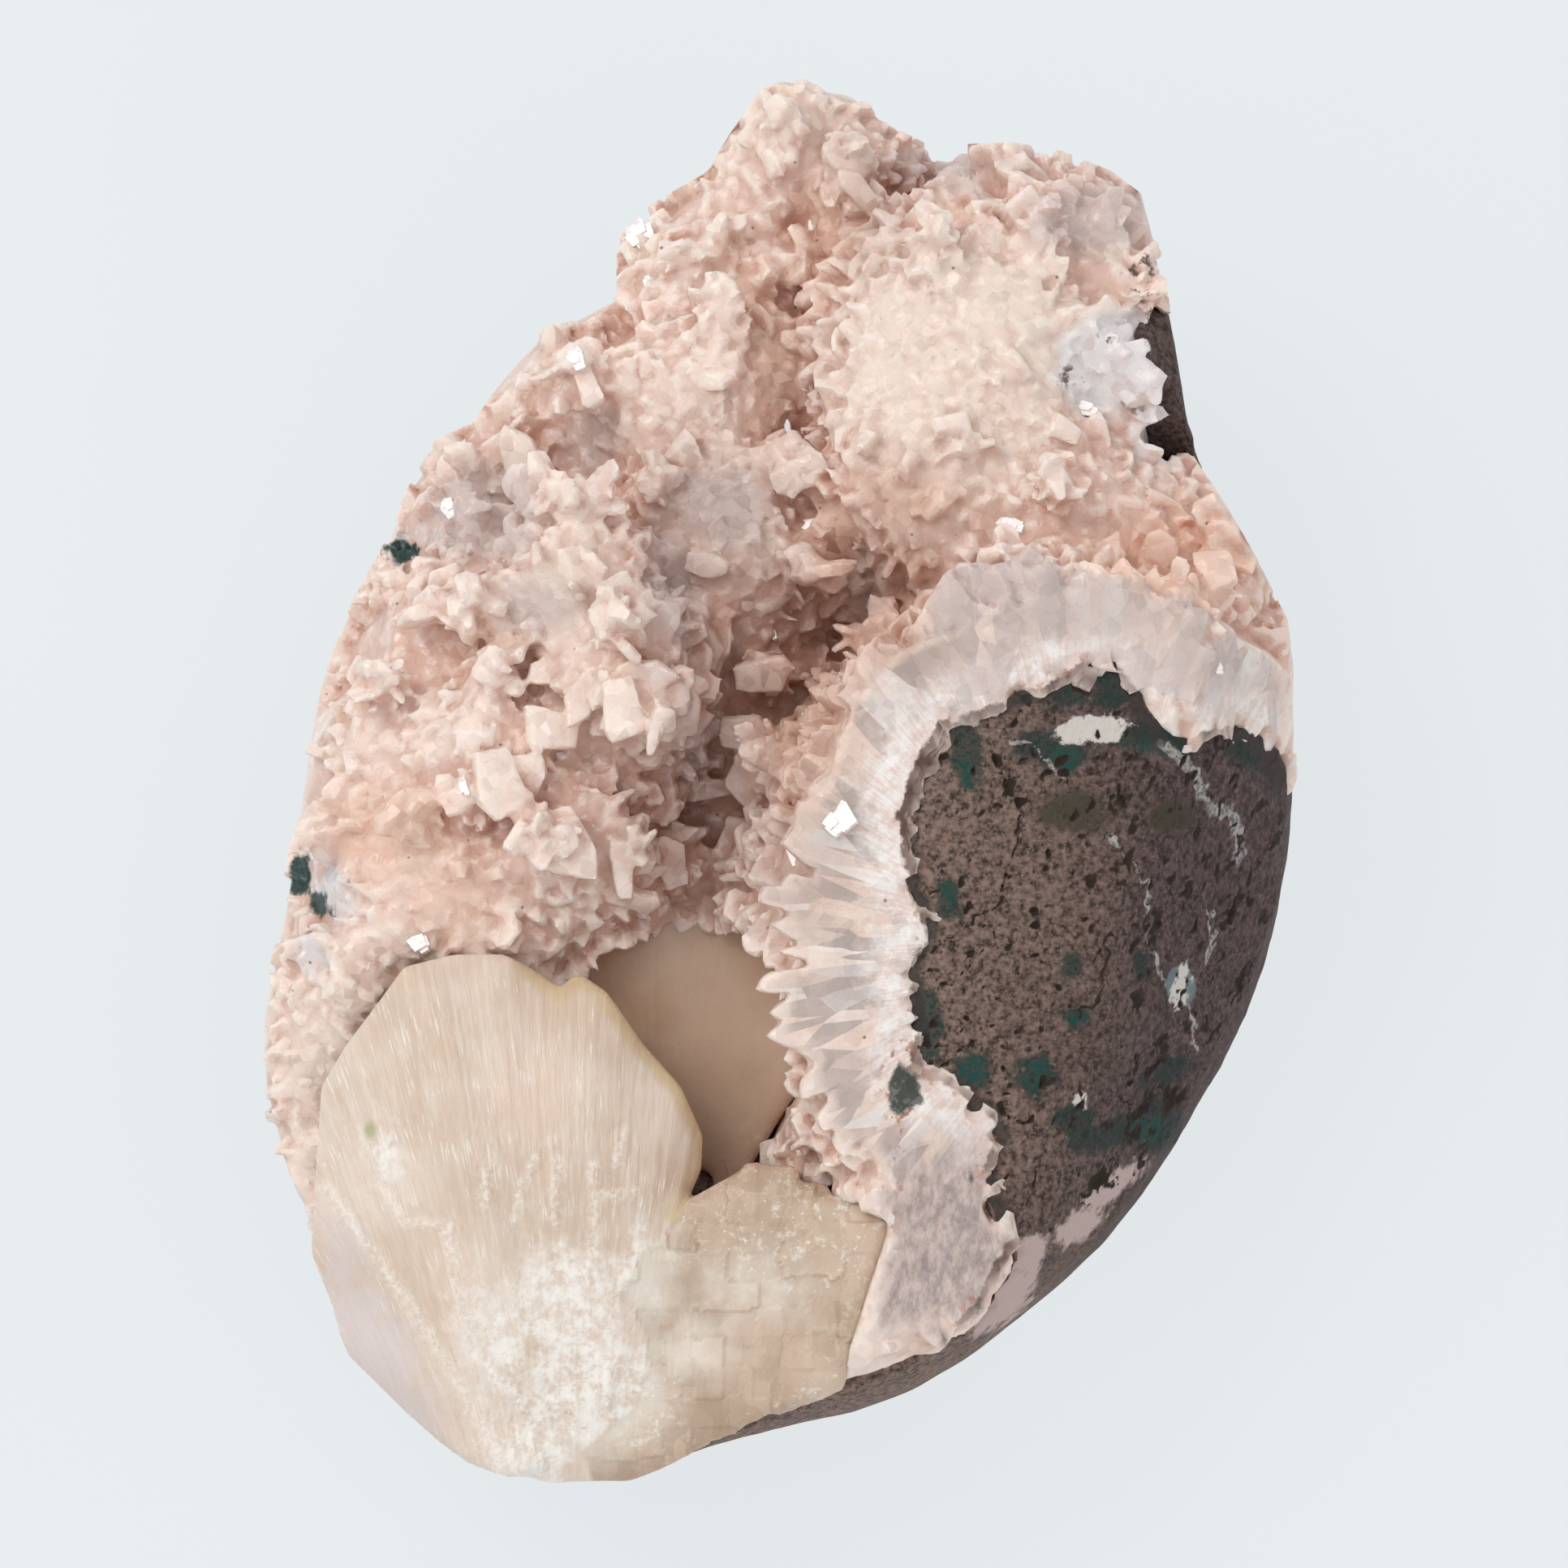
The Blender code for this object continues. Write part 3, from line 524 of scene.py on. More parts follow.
def groundOff(points, normals):  # 1 on the faces that are ground or broken flat, 0 on grown crystal
    flat = smooth(-0.9, -0.3, overFacets(points))
    outward = points[:, :2] / np.linalg.norm(points[:, :2], axis=1)[:, None]
    wall = ((normals[:, :2] * outward).sum(axis=1) > 0.62) & (normals[:, 2] < 0.5)
    return np.maximum(flat * (normals[:, 2] > 0.2), wall)


def openness(points, normals, tree, rays, reach):  # share of the sky that each point sees
    source = np.random.default_rng(5)
    found = np.zeros(len(points))
    directions = source.normal(size=(rays, 3))
    directions[:, 2] = np.abs(directions[:, 2]) + 0.25
    directions /= np.linalg.norm(directions, axis=1)[:, None]
    for index, (point, normal) in enumerate(zip(points, normals)):
        start = Vector(point + normal * 0.35)
        free = 0
        for direction in directions:
            if tree.ray_cast(start, Vector(direction), reach)[0] is None:
                free += 1
        found[index] = free / rays
    return found


def makeCrust():
    piece = refinedCopy("crust core", "heulandite_crust", crustLook["voxel"])
    ground = groundOff(pointsOf(piece), normalsOf(piece))
    ground = spread(piece, ground.astype(float), 1)
    setPoints(piece, evened(piece, crustLook["evening"], 0.55 * (1 - smooth(0.3, 0.7, ground))))
    return piece, ground


def treeOf(pieces):
    points, faces = [], []
    for piece in pieces:
        start = len(points)
        faces += [[index + start for index in polygon.vertices] for polygon in piece.data.polygons]
        points += pointsOf(piece).tolist()
    return BVHTree.FromPolygons(points, faces)


# Crystals, in mm. top and side tell how far they stand out where the crust faces the eye and where it is steep.
crystalLook = {
    "seed": 23, "voxel": 0.42, "triangles": 194000, "evening": 0.35,
    "cover": {"spacing": 2.6, "width": (2.2, 5.0), "thin": (0.3, 0.5), "top": (0.05, 0.6), "side": (1.2, 3.8),
              "sunk": 3.0, "lean": 0.6},
    "rosettes": {"count": 120, "spacing": 8, "number": (6, 11), "width": (2.4, 5.0), "thin": (0.35, 0.55),
                 "stands": (0.6, 2.6), "focus": (3.0, 5.0), "cone": 0.6},
    "small": {"spacing": 1.9, "width": (0.9, 1.9), "thin": (0.4, 0.7), "top": (0.12, 0.5), "side": (0.9, 2.4),
              "sunk": 1.5, "lean": 0.9},
}
crystalFaces = np.array([
    (0, 3, 2, 1), (0, 1, 5, 4), (1, 2, 6, 5), (2, 3, 7, 6), (3, 0, 4, 7),
    (4, 5, 9, 8), (5, 6, 10, 9), (6, 7, 11, 10), (7, 4, 8, 11), (8, 9, 10, 11),
])
# Crystals of the ridge that are ground flat on top: tip (right, up) and width. They point away from
# teethFrom, and the streaks of the ridge run out from ridgeMiddle.
teeth = [
    (13.6, 15.8, 4.0), (11.6, 12.6, 3.4), (8.4, 8.4, 2.6), (6.5, 5.9, 4.2), (3.7, 0.2, 5.4),
    (1.4, -3.3, 4.2), (0.2, -6.4, 4.0), (-0.1, -11.8, 2.5), (-2.9, -13.5, 2.8), (-1.3, -17.1, 3.5),
    (-0.6, -20.8, 3.0), (-3.1, -24.8, 2.6), (-1.4, -28.6, 3.0), (-1.1, -31.8, 4.0), (2.6, -33.6, 3.0),
    (2.0, -38.0, 3.2), (4.3, -42.2, 3.4), (6.7, -44.4, 3.0), (9.4, -44.9, 3.5), (13.0, -47.0, 3.0),
]
teethFrom = (27, -20)
ridgeMiddle = (38, -20)
blockEdge = [(13.4, -53), (8.5, -69), (7, -78)]
toothLook = {"length": 13.0, "thickness": 4.0, "behind": 4.4, "wider": 3.0}
# Fringes of crystals along the ridge: the line of their tips, where they point away from, number and looks.
fringes = [
    {"tips": [(20, 14.5), (13.8, 13), (12.5, 11.2), (8, 7), (7, 3.5), (3.8, 0), (2.2, -4), (1, -8),
              (0.6, -12), (-1.5, -16.5), (-1.5, -20), (0.5, -24.5), (1, -29), (-0.6, -32), (4, -36),
              (5.4, -42), (9.4, -45.6)],
     "away": (28, -22), "number": 60, "length": (7, 10), "width": (2.6, 4.6), "grey": 0.0,
     "under": (5, 11), "back": (2.4, 5.0)},
    {"tips": [(19, 20), (20.5, 27), (28.4, 28.5), (33.4, 27.5), (38.4, 26.5), (43, 25), (47.5, 24.5),
              (53, 21), (57.4, 18), (59.5, 14)],
     "away": (38, -18), "number": 54, "length": (8, 12), "width": (3.0, 5.4), "grey": 3.0,
     "under": (0.6, 4), "back": (0, 1.6)},
    {"tips": [(19, 15), (25, 21), (34, 22.5), (42, 20.5), (49, 19), (56, 14)],
     "away": (38, -18), "number": 34, "length": (6, 9), "width": (2.6, 4.4), "grey": 2.0,
     "under": (-0.6, 0.8), "back": (0, 1.6)},
]
# Crystals that stand out in the photo: middle (right, up), height over the crust, width, length and
# thickness, turn in the view, how far the face leans right and up, and the width of the tip as a share.
singles = [
    (-28.6, 6.6, 2.5, 5.4, 6.4, 2.4, 82, 0.1, 0.1, 0.95),
    (-27.1, -7.4, 2.0, 7.0, 8.6, 2.4, 200, 0.2, -0.2, 0.7),
    (-9.0, -0.4, 2.0, 2.8, 8.8, 2.0, 96, -0.1, -0.3, 0.9),
    (-15.4, -6.4, 2.5, 5.0, 9.4, 2.0, -75, 0.2, 0.3, 0.15),
    (-32.6, 40.4, 2.0, 4.6, 6.4, 3.4, 5, 0.0, -0.3, 0.7),
    (9.4, 72.6, 2.5, 3.0, 7.4, 2.4, 40, 0.1, 0.0, 0.3),
    (-32.0, 1.0, 1.5, 5.4, 5.4, 2.0, -15, 0.1, 0.1, 0.6),
    (-23.4, -0.4, 1.5, 3.4, 5.4, 1.6, 100, -0.1, 0.2, 0.6),
    (-41.4, 41.0, 0.8, 4.0, 5.0, 3.0, 0, -0.1, 0.0, 0.6),
    (-11.5, 12.5, 1.5, 4.4, 7.0, 2.0, 70, 0.2, 0.3, 0.5),
    (-15.7, 19.2, 2.0, 5.0, 7.0, 2.4, -15, 0.2, -0.1, 0.85),
    (-16.8, 13.1, 2.2, 4.4, 7.4, 2.2, -95, 0.1, -0.3, 0.15),
    (-19.9, 9.2, 2.2, 5.2, 7.4, 2.2, 190, 0.1, -0.3, 0.75),
    (-25.0, 10.4, 1.8, 4.0, 6.4, 2.0, 150, -0.1, -0.3, 0.2),
    (-29.3, 13.4, 1.6, 2.8, 4.4, 2.0, 80, -0.1, 0.1, 0.9),
    (-35.2, 0.0, 1.8, 6.0, 8.4, 2.4, 195, 0.3, -0.1, 0.45),
    (-4.0, 6.2, 2.0, 4.8, 7.8, 2.0, -95, 0.1, -0.35, 0.15),
    (-2.4, 13.4, 1.8, 4.6, 7.4, 2.0, -85, 0.1, -0.3, 0.15),
    (-19.9, -10.3, 1.8, 2.8, 7.4, 2.2, 5, 0.1, 0.2, 0.9),
    (-14.1, -9.5, 1.8, 4.4, 6.6, 2.0, 15, 0.2, 0.2, 0.12),
    (-8.4, 18.6, 1.6, 4.4, 6.0, 2.0, 170, 0.1, -0.2, 0.5),
    (-6.6, -7.4, 1.6, 3.4, 6.0, 1.8, -30, 0.1, 0.2, 0.4),
    (24.6, 73.6, 1.4, 3.8, 6.4, 1.8, 15, 0.0, 0.3, 0.2),
    (28.8, 72.4, 1.4, 3.4, 6.0, 1.8, -12, 0.1, 0.3, 0.2),
    (33.4, 62.4, 1.2, 2.2, 5.4, 1.4, -20, 0.2, 0.1, 0.9),
    (34.5, 43.6, 0.9, 3.0, 4.0, 2.2, 60, 0.0, 0.0, 0.8),
    (38.5, 43.2, 0.9, 3.2, 4.4, 2.2, 20, 0.0, 0.0, 0.8),
    (45.5, 27.6, 1.2, 4.6, 7.4, 1.8, -30, 0.2, 0.1, 0.5),
    (2.0, 54.0, 1.4, 2.6, 5.6, 1.6, 65, 0.1, 0.2, 0.6),
    (-35.8, 53.0, 1.2, 4.6, 6.0, 2.4, 10, -0.1, 0.1, 0.7),
    (-24.0, 48.6, 1.4, 3.0, 5.6, 2.0, 200, 0.1, -0.2, 0.2),
    (1.6, 38.0, 1.6, 4.0, 6.4, 1.8, -70, 0.1, -0.2, 0.2),
    (-9.4, 27.0, 1.2, 3.4, 5.4, 2.0, -100, 0.1, -0.2, 0.4),
    (-10.4, -48.8, 12.0, 5.0, 7.0, 4.0, 20, 0.1, 0.1, 0.7),
    (-9.4, -47.4, 8.0, 5.0, 7.0, 4.0, -40, 0.1, 0.1, 0.5),
    (-12.0, 40.0, 1.2, 4.4, 5.4, 2.4, 30, 0.0, 0.1, 0.8),
]
# Small crystals that stand over the edge of the blade and of the block: their roots, and where they point.
overEdges = [
    {"roots": [(-30, -24.6), (-26.6, -21.8), (-22.6, -18.4), (-16.6, -15.9), (-10.6, -14.8), (-5, -15.8),
               (-0.4, -19), (2.4, -24.2), (3.4, -31), (3.6, -37)],
     "to": (-13, -40), "number": 44, "lift": 0.7},
    {"roots": [(-9.6, -47), (-4, -45.4), (1.6, -45.6), (6, -47.6), (11, -49.6), (14.6, -52.6)],
     "to": (0, -80), "number": 22, "lift": 0.5},
]
# Faces that catch the light: middle (right, up), width and length, turn in the view.
glints = [
    (-17.1, 67.3, 3.4, 3.0, 30), (-16.6, 61.6, 0.9, 2.0, 15), (-25.6, 52.1, 1.8, 2.8, 20),
    (4.1, 31.8, 1.7, 3.6, 70), (6.1, 24.4, 1.2, 2.0, 70), (-20.4, 24.4, 2.6, 2.0, 20),
    (28.1, 31.8, 1.4, 3.4, 70), (21.8, 19.4, 1.4, 2.4, 30), (1.2, -8.2, 1.8, 3.4, 15),
    (6.9, -4.4, 3.0, 3.4, 40), (-45.4, -19.4, 2.4, 3.0, 30), (-13.6, -6.6, 1.2, 3.0, 55),
    (-1.2, 18.4, 0.8, 1.4, 30), (32.9, 61.8, 1.0, 2.4, -15), (3.2, 49.2, 1.6, 2.2, 60),
    (0.4, 44.0, 0.7, 2.4, 10), (-41.4, 33.8, 2.0, 2.4, 30), (-46.8, 19.8, 0.8, 0.8, 0),
    (-10.6, 15.4, 0.9, 2.0, 50), (-27.4, 3.4, 0.9, 0.9, 0), (-39.4, -0.4, 0.8, 2.4, 20),
    (-5.6, -14.0, 1.0, 2.0, 70), (53.4, 14.4, 0.9, 2.0, 10), (37.0, 46.0, 1.6, 3.0, 75),
    (16.0, 67.4, 0.8, 2.0, 20), (-6.0, -14.6, 0.7, 1.6, 60), (-35.5, 57.0, 1.4, 2.0, 20),
    (3.6, 69.0, 1.0, 1.8, 0),
]


def crystalPoints(roots, axes, flats, sizes, source, tips=None):  # root, shoulder and tip, four points each
    count = len(roots)
    axes = unit(axes)
    flats = unit(flats - axes * (flats * axes).sum(axis=1)[:, None])
    sides = np.cross(axes, flats)
    length, width, thickness = sizes.T
    shoulder = source.uniform(0.62, 0.9, count)
    slant = source.uniform(-0.35, 0.35, count)
    pointed = source.random(count) < 0.35
    tip = np.where(pointed, source.uniform(0.08, 0.3, count), source.uniform(0.45, 0.85, count))
    if tips is not None:
        tip = tips
    stations = [(0 * length, 0.7, 1, 0), (shoulder * length, 1, 1, 0.35), (length, tip, 0.5, 1)]
    rings = []
    for along, wide, thick, skewed in stations:
        for across, through in ((-1, -1), (1, -1), (1, 1), (-1, 1)):
            rise = along + across * slant * width * skewed * 0.6
            rings.append(
                roots + axes * rise[:, None] + sides * (across * width * wide / 2)[:, None]
                + flats * (through * thickness * thick / 2)[:, None]
            )
    return np.stack(rings, axis=1)


def scattered(points, free, spacing, source, most=100000):  # points of the crust at least this far apart
    chosen = []
    held = {}
    for index in source.permutation(free):
        point = points[index]
        cell = tuple((point // spacing).astype(int))
        around = [tuple(map(sum, zip(cell, step, (-1, -1, -1)))) for step in np.ndindex(3, 3, 3)]
        near = [other for key in around for other in held.get(key, ())]
        if any(np.sum((points[other] - point) ** 2) < spacing**2 for other in near):
            continue
        held.setdefault(cell, []).append(index)
        chosen.append(index)
        if len(chosen) == most:
            break
    return np.array(chosen)


def vectorNoise(points, grain, seed):
    shift = Vector((seed, -seed, seed * 0.5))
    return np.array([noise.noise_vector(Vector(point) / grain + shift) for point in points])


def coverOf(points, normals, look, source, free):
    chosen = scattered(points, free, look["spacing"], source)
    spot, normal = points[chosen], normals[chosen]
    count = len(chosen)
    axes = normal + look["lean"] * (vectorNoise(spot, 8, 3.1) * 1.6 + source.normal(size=(count, 3)) * 0.25)
    axes = unit(axes - normal * np.minimum(0, (axes * normal).sum(axis=1) - 0.35)[:, None])
    flats = vectorNoise(spot, 10, 8.3) * 2 + source.normal(size=(count, 3)) * 0.35
    steep = smooth(0.85, 0.35, normal @ toEye)
    share = source.random(count)
    stands = [look["top"][end] * (1 - steep) + look["side"][end] * steep for end in (0, 1)]
    length = look["sunk"] + stands[0] + (stands[1] - stands[0]) * share
    width = source.uniform(*look["width"], count)
    sizes = np.stack((length, width, width * source.uniform(*look["thin"], count)), axis=1)
    return spot - axes * look["sunk"], axes, flats, sizes


def rosettesOf(points, normals, look, source, free):
    groups = []
    for index in scattered(points, free, look["spacing"], source, look["count"]):
        normal = normals[index]
        focus = source.uniform(*look["focus"])
        number = source.integers(*look["number"])
        axes = normal + source.normal(size=(number, 3)) * look["cone"]
        axes = unit(axes - normal * np.minimum(0, axes @ normal - 0.2)[:, None])
        start = points[index] - normal * focus + source.normal(size=(number, 3)) * 0.9
        width = source.uniform(*look["width"], number)
        length = focus + source.uniform(*look["stands"], number)
        flats = np.cross(normal, source.normal(size=3)) + source.normal(size=(number, 3)) * 0.4
        sizes = np.stack((length, width, width * source.uniform(*look["thin"], number)), axis=1)
        groups.append((start, axes, flats, sizes))
    return [np.concatenate(parts) for parts in zip(*groups)]


def onFront(right, up):  # the point of the ground front that is seen there
    line = lineTo(right, up)
    return eye + line * max((spot - eye) @ normal / (line @ normal) for spot, normal in facetPlanes)


def columns(parts):
    return [np.array(part) for part in zip(*parts)]


def alongLine(line, number, source):  # places along a line, each a little off its even step
    line = np.array(line, float)
    steps = np.concatenate(([0], np.cumsum(np.linalg.norm(np.diff(line, axis=0), axis=1))))
    shares = (np.arange(number) + source.uniform(0.1, 0.9, number)) / number
    return np.stack([np.interp(shares * steps[-1], steps, line[:, axis]) for axis in range(2)], axis=1)


def fringeOf(look, source):
    parts = []
    for tip in alongLine(look["tips"], look["number"], source):
        inward = unit(np.array(look["away"]) - tip)
        turn = source.normal() * 0.3
        inward = np.array((inward[0] - turn * inward[1], inward[1] + turn * inward[0]))
        length = source.uniform(*look["length"])
        tip = tip + inward * source.uniform(*look["back"])
        under = source.uniform(*look["under"])
        end = onFront(*tip) - toEye * under
        root = onFront(*(tip + inward * length)) - toEye * (under + source.uniform(0.5, 2.5))
        flat = toEye + source.normal(size=3) * 0.45
        width = source.uniform(*look["width"])
        size = (np.linalg.norm(end - root), width, width * source.uniform(0.35, 0.55))
        parts.append((root, end - root, flat, size))
    return columns(parts)


def teethOf():
    parts = []
    thickness = toothLook["thickness"]
    for right, up, width in teeth:
        tip = np.array((right, up))
        inward = unit(np.array(teethFrom) - tip)
        root = onFront(*(tip + inward * toothLook["length"])) - toEye * thickness * 0.55
        for back, wider in ((0, 0), (toothLook["behind"], toothLook["wider"])):
            end = onFront(*(tip + inward * back)) - toEye * thickness * 0.5
            size = (np.linalg.norm(end - root), width + wider, thickness)
            parts.append((root, end - root, fromView(0.1, 0, 1), size))
    return columns(parts)


def under(tree, right, up):  # the place on the crust that is seen there, or None
    return tree.ray_cast(Vector(eye), Vector(unit(lineTo(right, up))))[0]


def singlesOf(tree):
    parts = []
    for right, up, lift, width, length, thick, turn, leanRight, leanUp, tip in singles:
        hit = under(tree, right, up)
        if hit is not None:
            angle = math.radians(turn)
            axis = fromView(-math.sin(angle), math.cos(angle), 0.25)
            root = np.array(hit) + toEye * lift - axis * length * 0.5
            parts.append((root, axis, fromView(leanRight, leanUp, 1), (length, width, thick), tip))
    return columns(parts)


def overEdgeOf(look, tree, source):
    parts = []
    for spot in alongLine(look["roots"], look["number"], source):
        hit = under(tree, *spot)
        way = unit(np.array(look["to"]) - spot + source.normal(size=2) * 6)
        length, width = source.uniform(4.0, 6.0), source.uniform(1.8, 3.6)
        if hit is not None:
            axis = fromView(*way, look["lift"])
            flat = toEye + source.normal(size=3) * 0.4
            parts.append((np.array(hit) - axis * 1.6, axis, flat, (length, width, width * 0.5)))
    return columns(parts)


def glintsOf(tree, source):  # small tablets that mirror the lamp to the eye
    toLamp = np.array(lamps["glint"][0]) / mm
    parts = []
    for right, up, width, length, turn in glints:
        hit = under(tree, right, up)
        if hit is not None:
            half = unit(unit(toLamp - np.array(hit)) + toEye)
            angle = math.radians(turn)
            axis = unit(np.cross(half, fromView(math.cos(angle), math.sin(angle), 0)))
            for size in (1.0, 0.7, 0.6):
                shift = fromView(*source.normal(size=2), 0) * (1.2 - size) * 0.7 * width
                root = np.array(hit) + toEye * 0.25 + shift - axis * length * size * 0.5
                tilt = half + source.normal(size=3) * 0.03
                parts.append((root, axis, tilt, (length * size, width * size, 0.9)))
    return columns(parts)


def growCrystals(druse, ground, others):  # the points of all crystals, how grey some are, and the glints
    look = crystalLook
    source = np.random.default_rng(look["seed"])
    points, normals = pointsOf(druse), normalsOf(druse)
    rounded = unit(np.stack([spread(druse, normals[:, axis], 10) for axis in range(3)], axis=1))
    free = np.flatnonzero((ground < 0.12) & (normals[:, 2] > -0.3) & (points[:, 2] > 12))
    groups = [
        coverOf(points, rounded, look["cover"], source, free),
        rosettesOf(points, rounded, look["rosettes"], source, free),
        coverOf(points, normals, look["small"], source, free),
    ]
    shapes = [crystalPoints(*group, source) for group in groups]
    grown = np.concatenate(shapes)
    tips = grown[:, 8:].mean(axis=1)
    kept = overFacets(grown.reshape(-1, 3)).reshape(-1, 12).max(axis=1) < 1.5
    kept &= tips[:, 2] > 8
    kept &= fromLine(seenAt(tips), [tooth[:2] for tooth in teeth[:14]]) > 2.4
    kept &= [others.ray_cast(Vector(tip), Vector(-toEye), 60)[0] is None for tip in tips]
    extra = [fringeOf(fringe, source) for fringe in fringes] + [teethOf()]
    tones = [fringe["grey"] for fringe in fringes] + [0]
    greys = [np.full(len(group[0]), tone) for group, tone in zip(extra, tones)]
    tree = treeOf([druse])
    extra += [overEdgeOf(look, tree, source) for look in overEdges]
    *alone, tips = singlesOf(tree)
    greys += [np.zeros(len(group[0])) for group in extra[len(greys):] + [alone]]
    shapes = [grown[kept]] + [crystalPoints(*group, source) for group in extra]
    shapes = np.concatenate(shapes + [crystalPoints(*alone, source, tips)])
    grey = np.concatenate([np.zeros(kept.sum())] + greys)
    return shapes, grey, crystalPoints(*glintsOf(tree, source), source)


def facesOf(count, start=0):
    return (crystalFaces[None] + 12 * np.arange(count)[:, None, None]).reshape(-1, 4) + start


def makeMesh(name, points, faces):
    mesh = bpy.data.meshes.new(name)
    mesh.from_pydata((points * mm).tolist(), [], faces)
    mesh.validate()
    return linked(name, mesh)


def mergeCrust(druse, shapes):  # one surface round the druse and its crystals
    look = crystalLook
    points = pointsOf(druse)
    base = [tuple(polygon.vertices) for polygon in druse.data.polygons]
    allPoints = np.concatenate((points, shapes.reshape(-1, 3)))
    allFaces = base + facesOf(len(shapes), len(points)).tolist()
    piece = makeMesh("heulandite_druse", allPoints, allFaces)
    change(piece, "REMESH", mode="VOXEL", voxel_size=look["voxel"] * mm)
    print("remeshed", len(piece.data.polygons))
    setPoints(piece, grindDown(evened(piece, 1, look["evening"])))
    ratio = min(1, look["triangles"] / (2 * len(piece.data.polygons)))
    change(piece, "DECIMATE", ratio=ratio, use_collapse_triangulate=True)
    piece.data.validate()
    print("decimated", len(piece.data.polygons))
    return piece, BVHTree.FromPolygons(allPoints.tolist(), allFaces), len(base)


def grindDown(points):  # back to the ground front and the silhouette, and over the basalt's border
    for spot, normal in facetPlanes:
        points = points - normal * np.maximum(0, (points - spot) @ normal)[:, None]
    seen = seenAt(points)
    outside = (insideBy(seen, silhouette) < -0.6) & (points[:, 2] > 5)
    way = towardsLine(seen[outside], silhouette + silhouette[:1])
    points[outside] += moves(way - 0.6 * unit(way))
    rim = insideBy(seen, bareBasalt)
    beside = (overFacets(points) > -4) & (rim > -2.2) & (rim < 1)
    way = towardsLine(seen[beside], bareBasalt)
    away = np.maximum(np.linalg.norm(way, axis=1), 1e-6)
    spot = points[beside]
    past = (0.5 + 0.45 * noiseAt(spot, 1.6, 6.0) + 0.3 * noiseAt(spot, 0.7, 2.0)) / away
    share = np.where(rim[beside] < 0, 1 + past, -past) * smooth(-2.2, -0.8, rim[beside])
    points[beside] += moves(way * share[:, None])
    beside = (overFacets(points) > -8) & (fromLine(seen, blockEdge) < 3)
    way = towardsLine(seen[beside], blockEdge)
    away = np.linalg.norm(way, axis=1)
    share = 1.1 * smooth(3, 1, away) / np.maximum(away, 1e-6) * smooth(0, 0.6, away)
    points[beside] += moves(way * share[:, None])
    return points


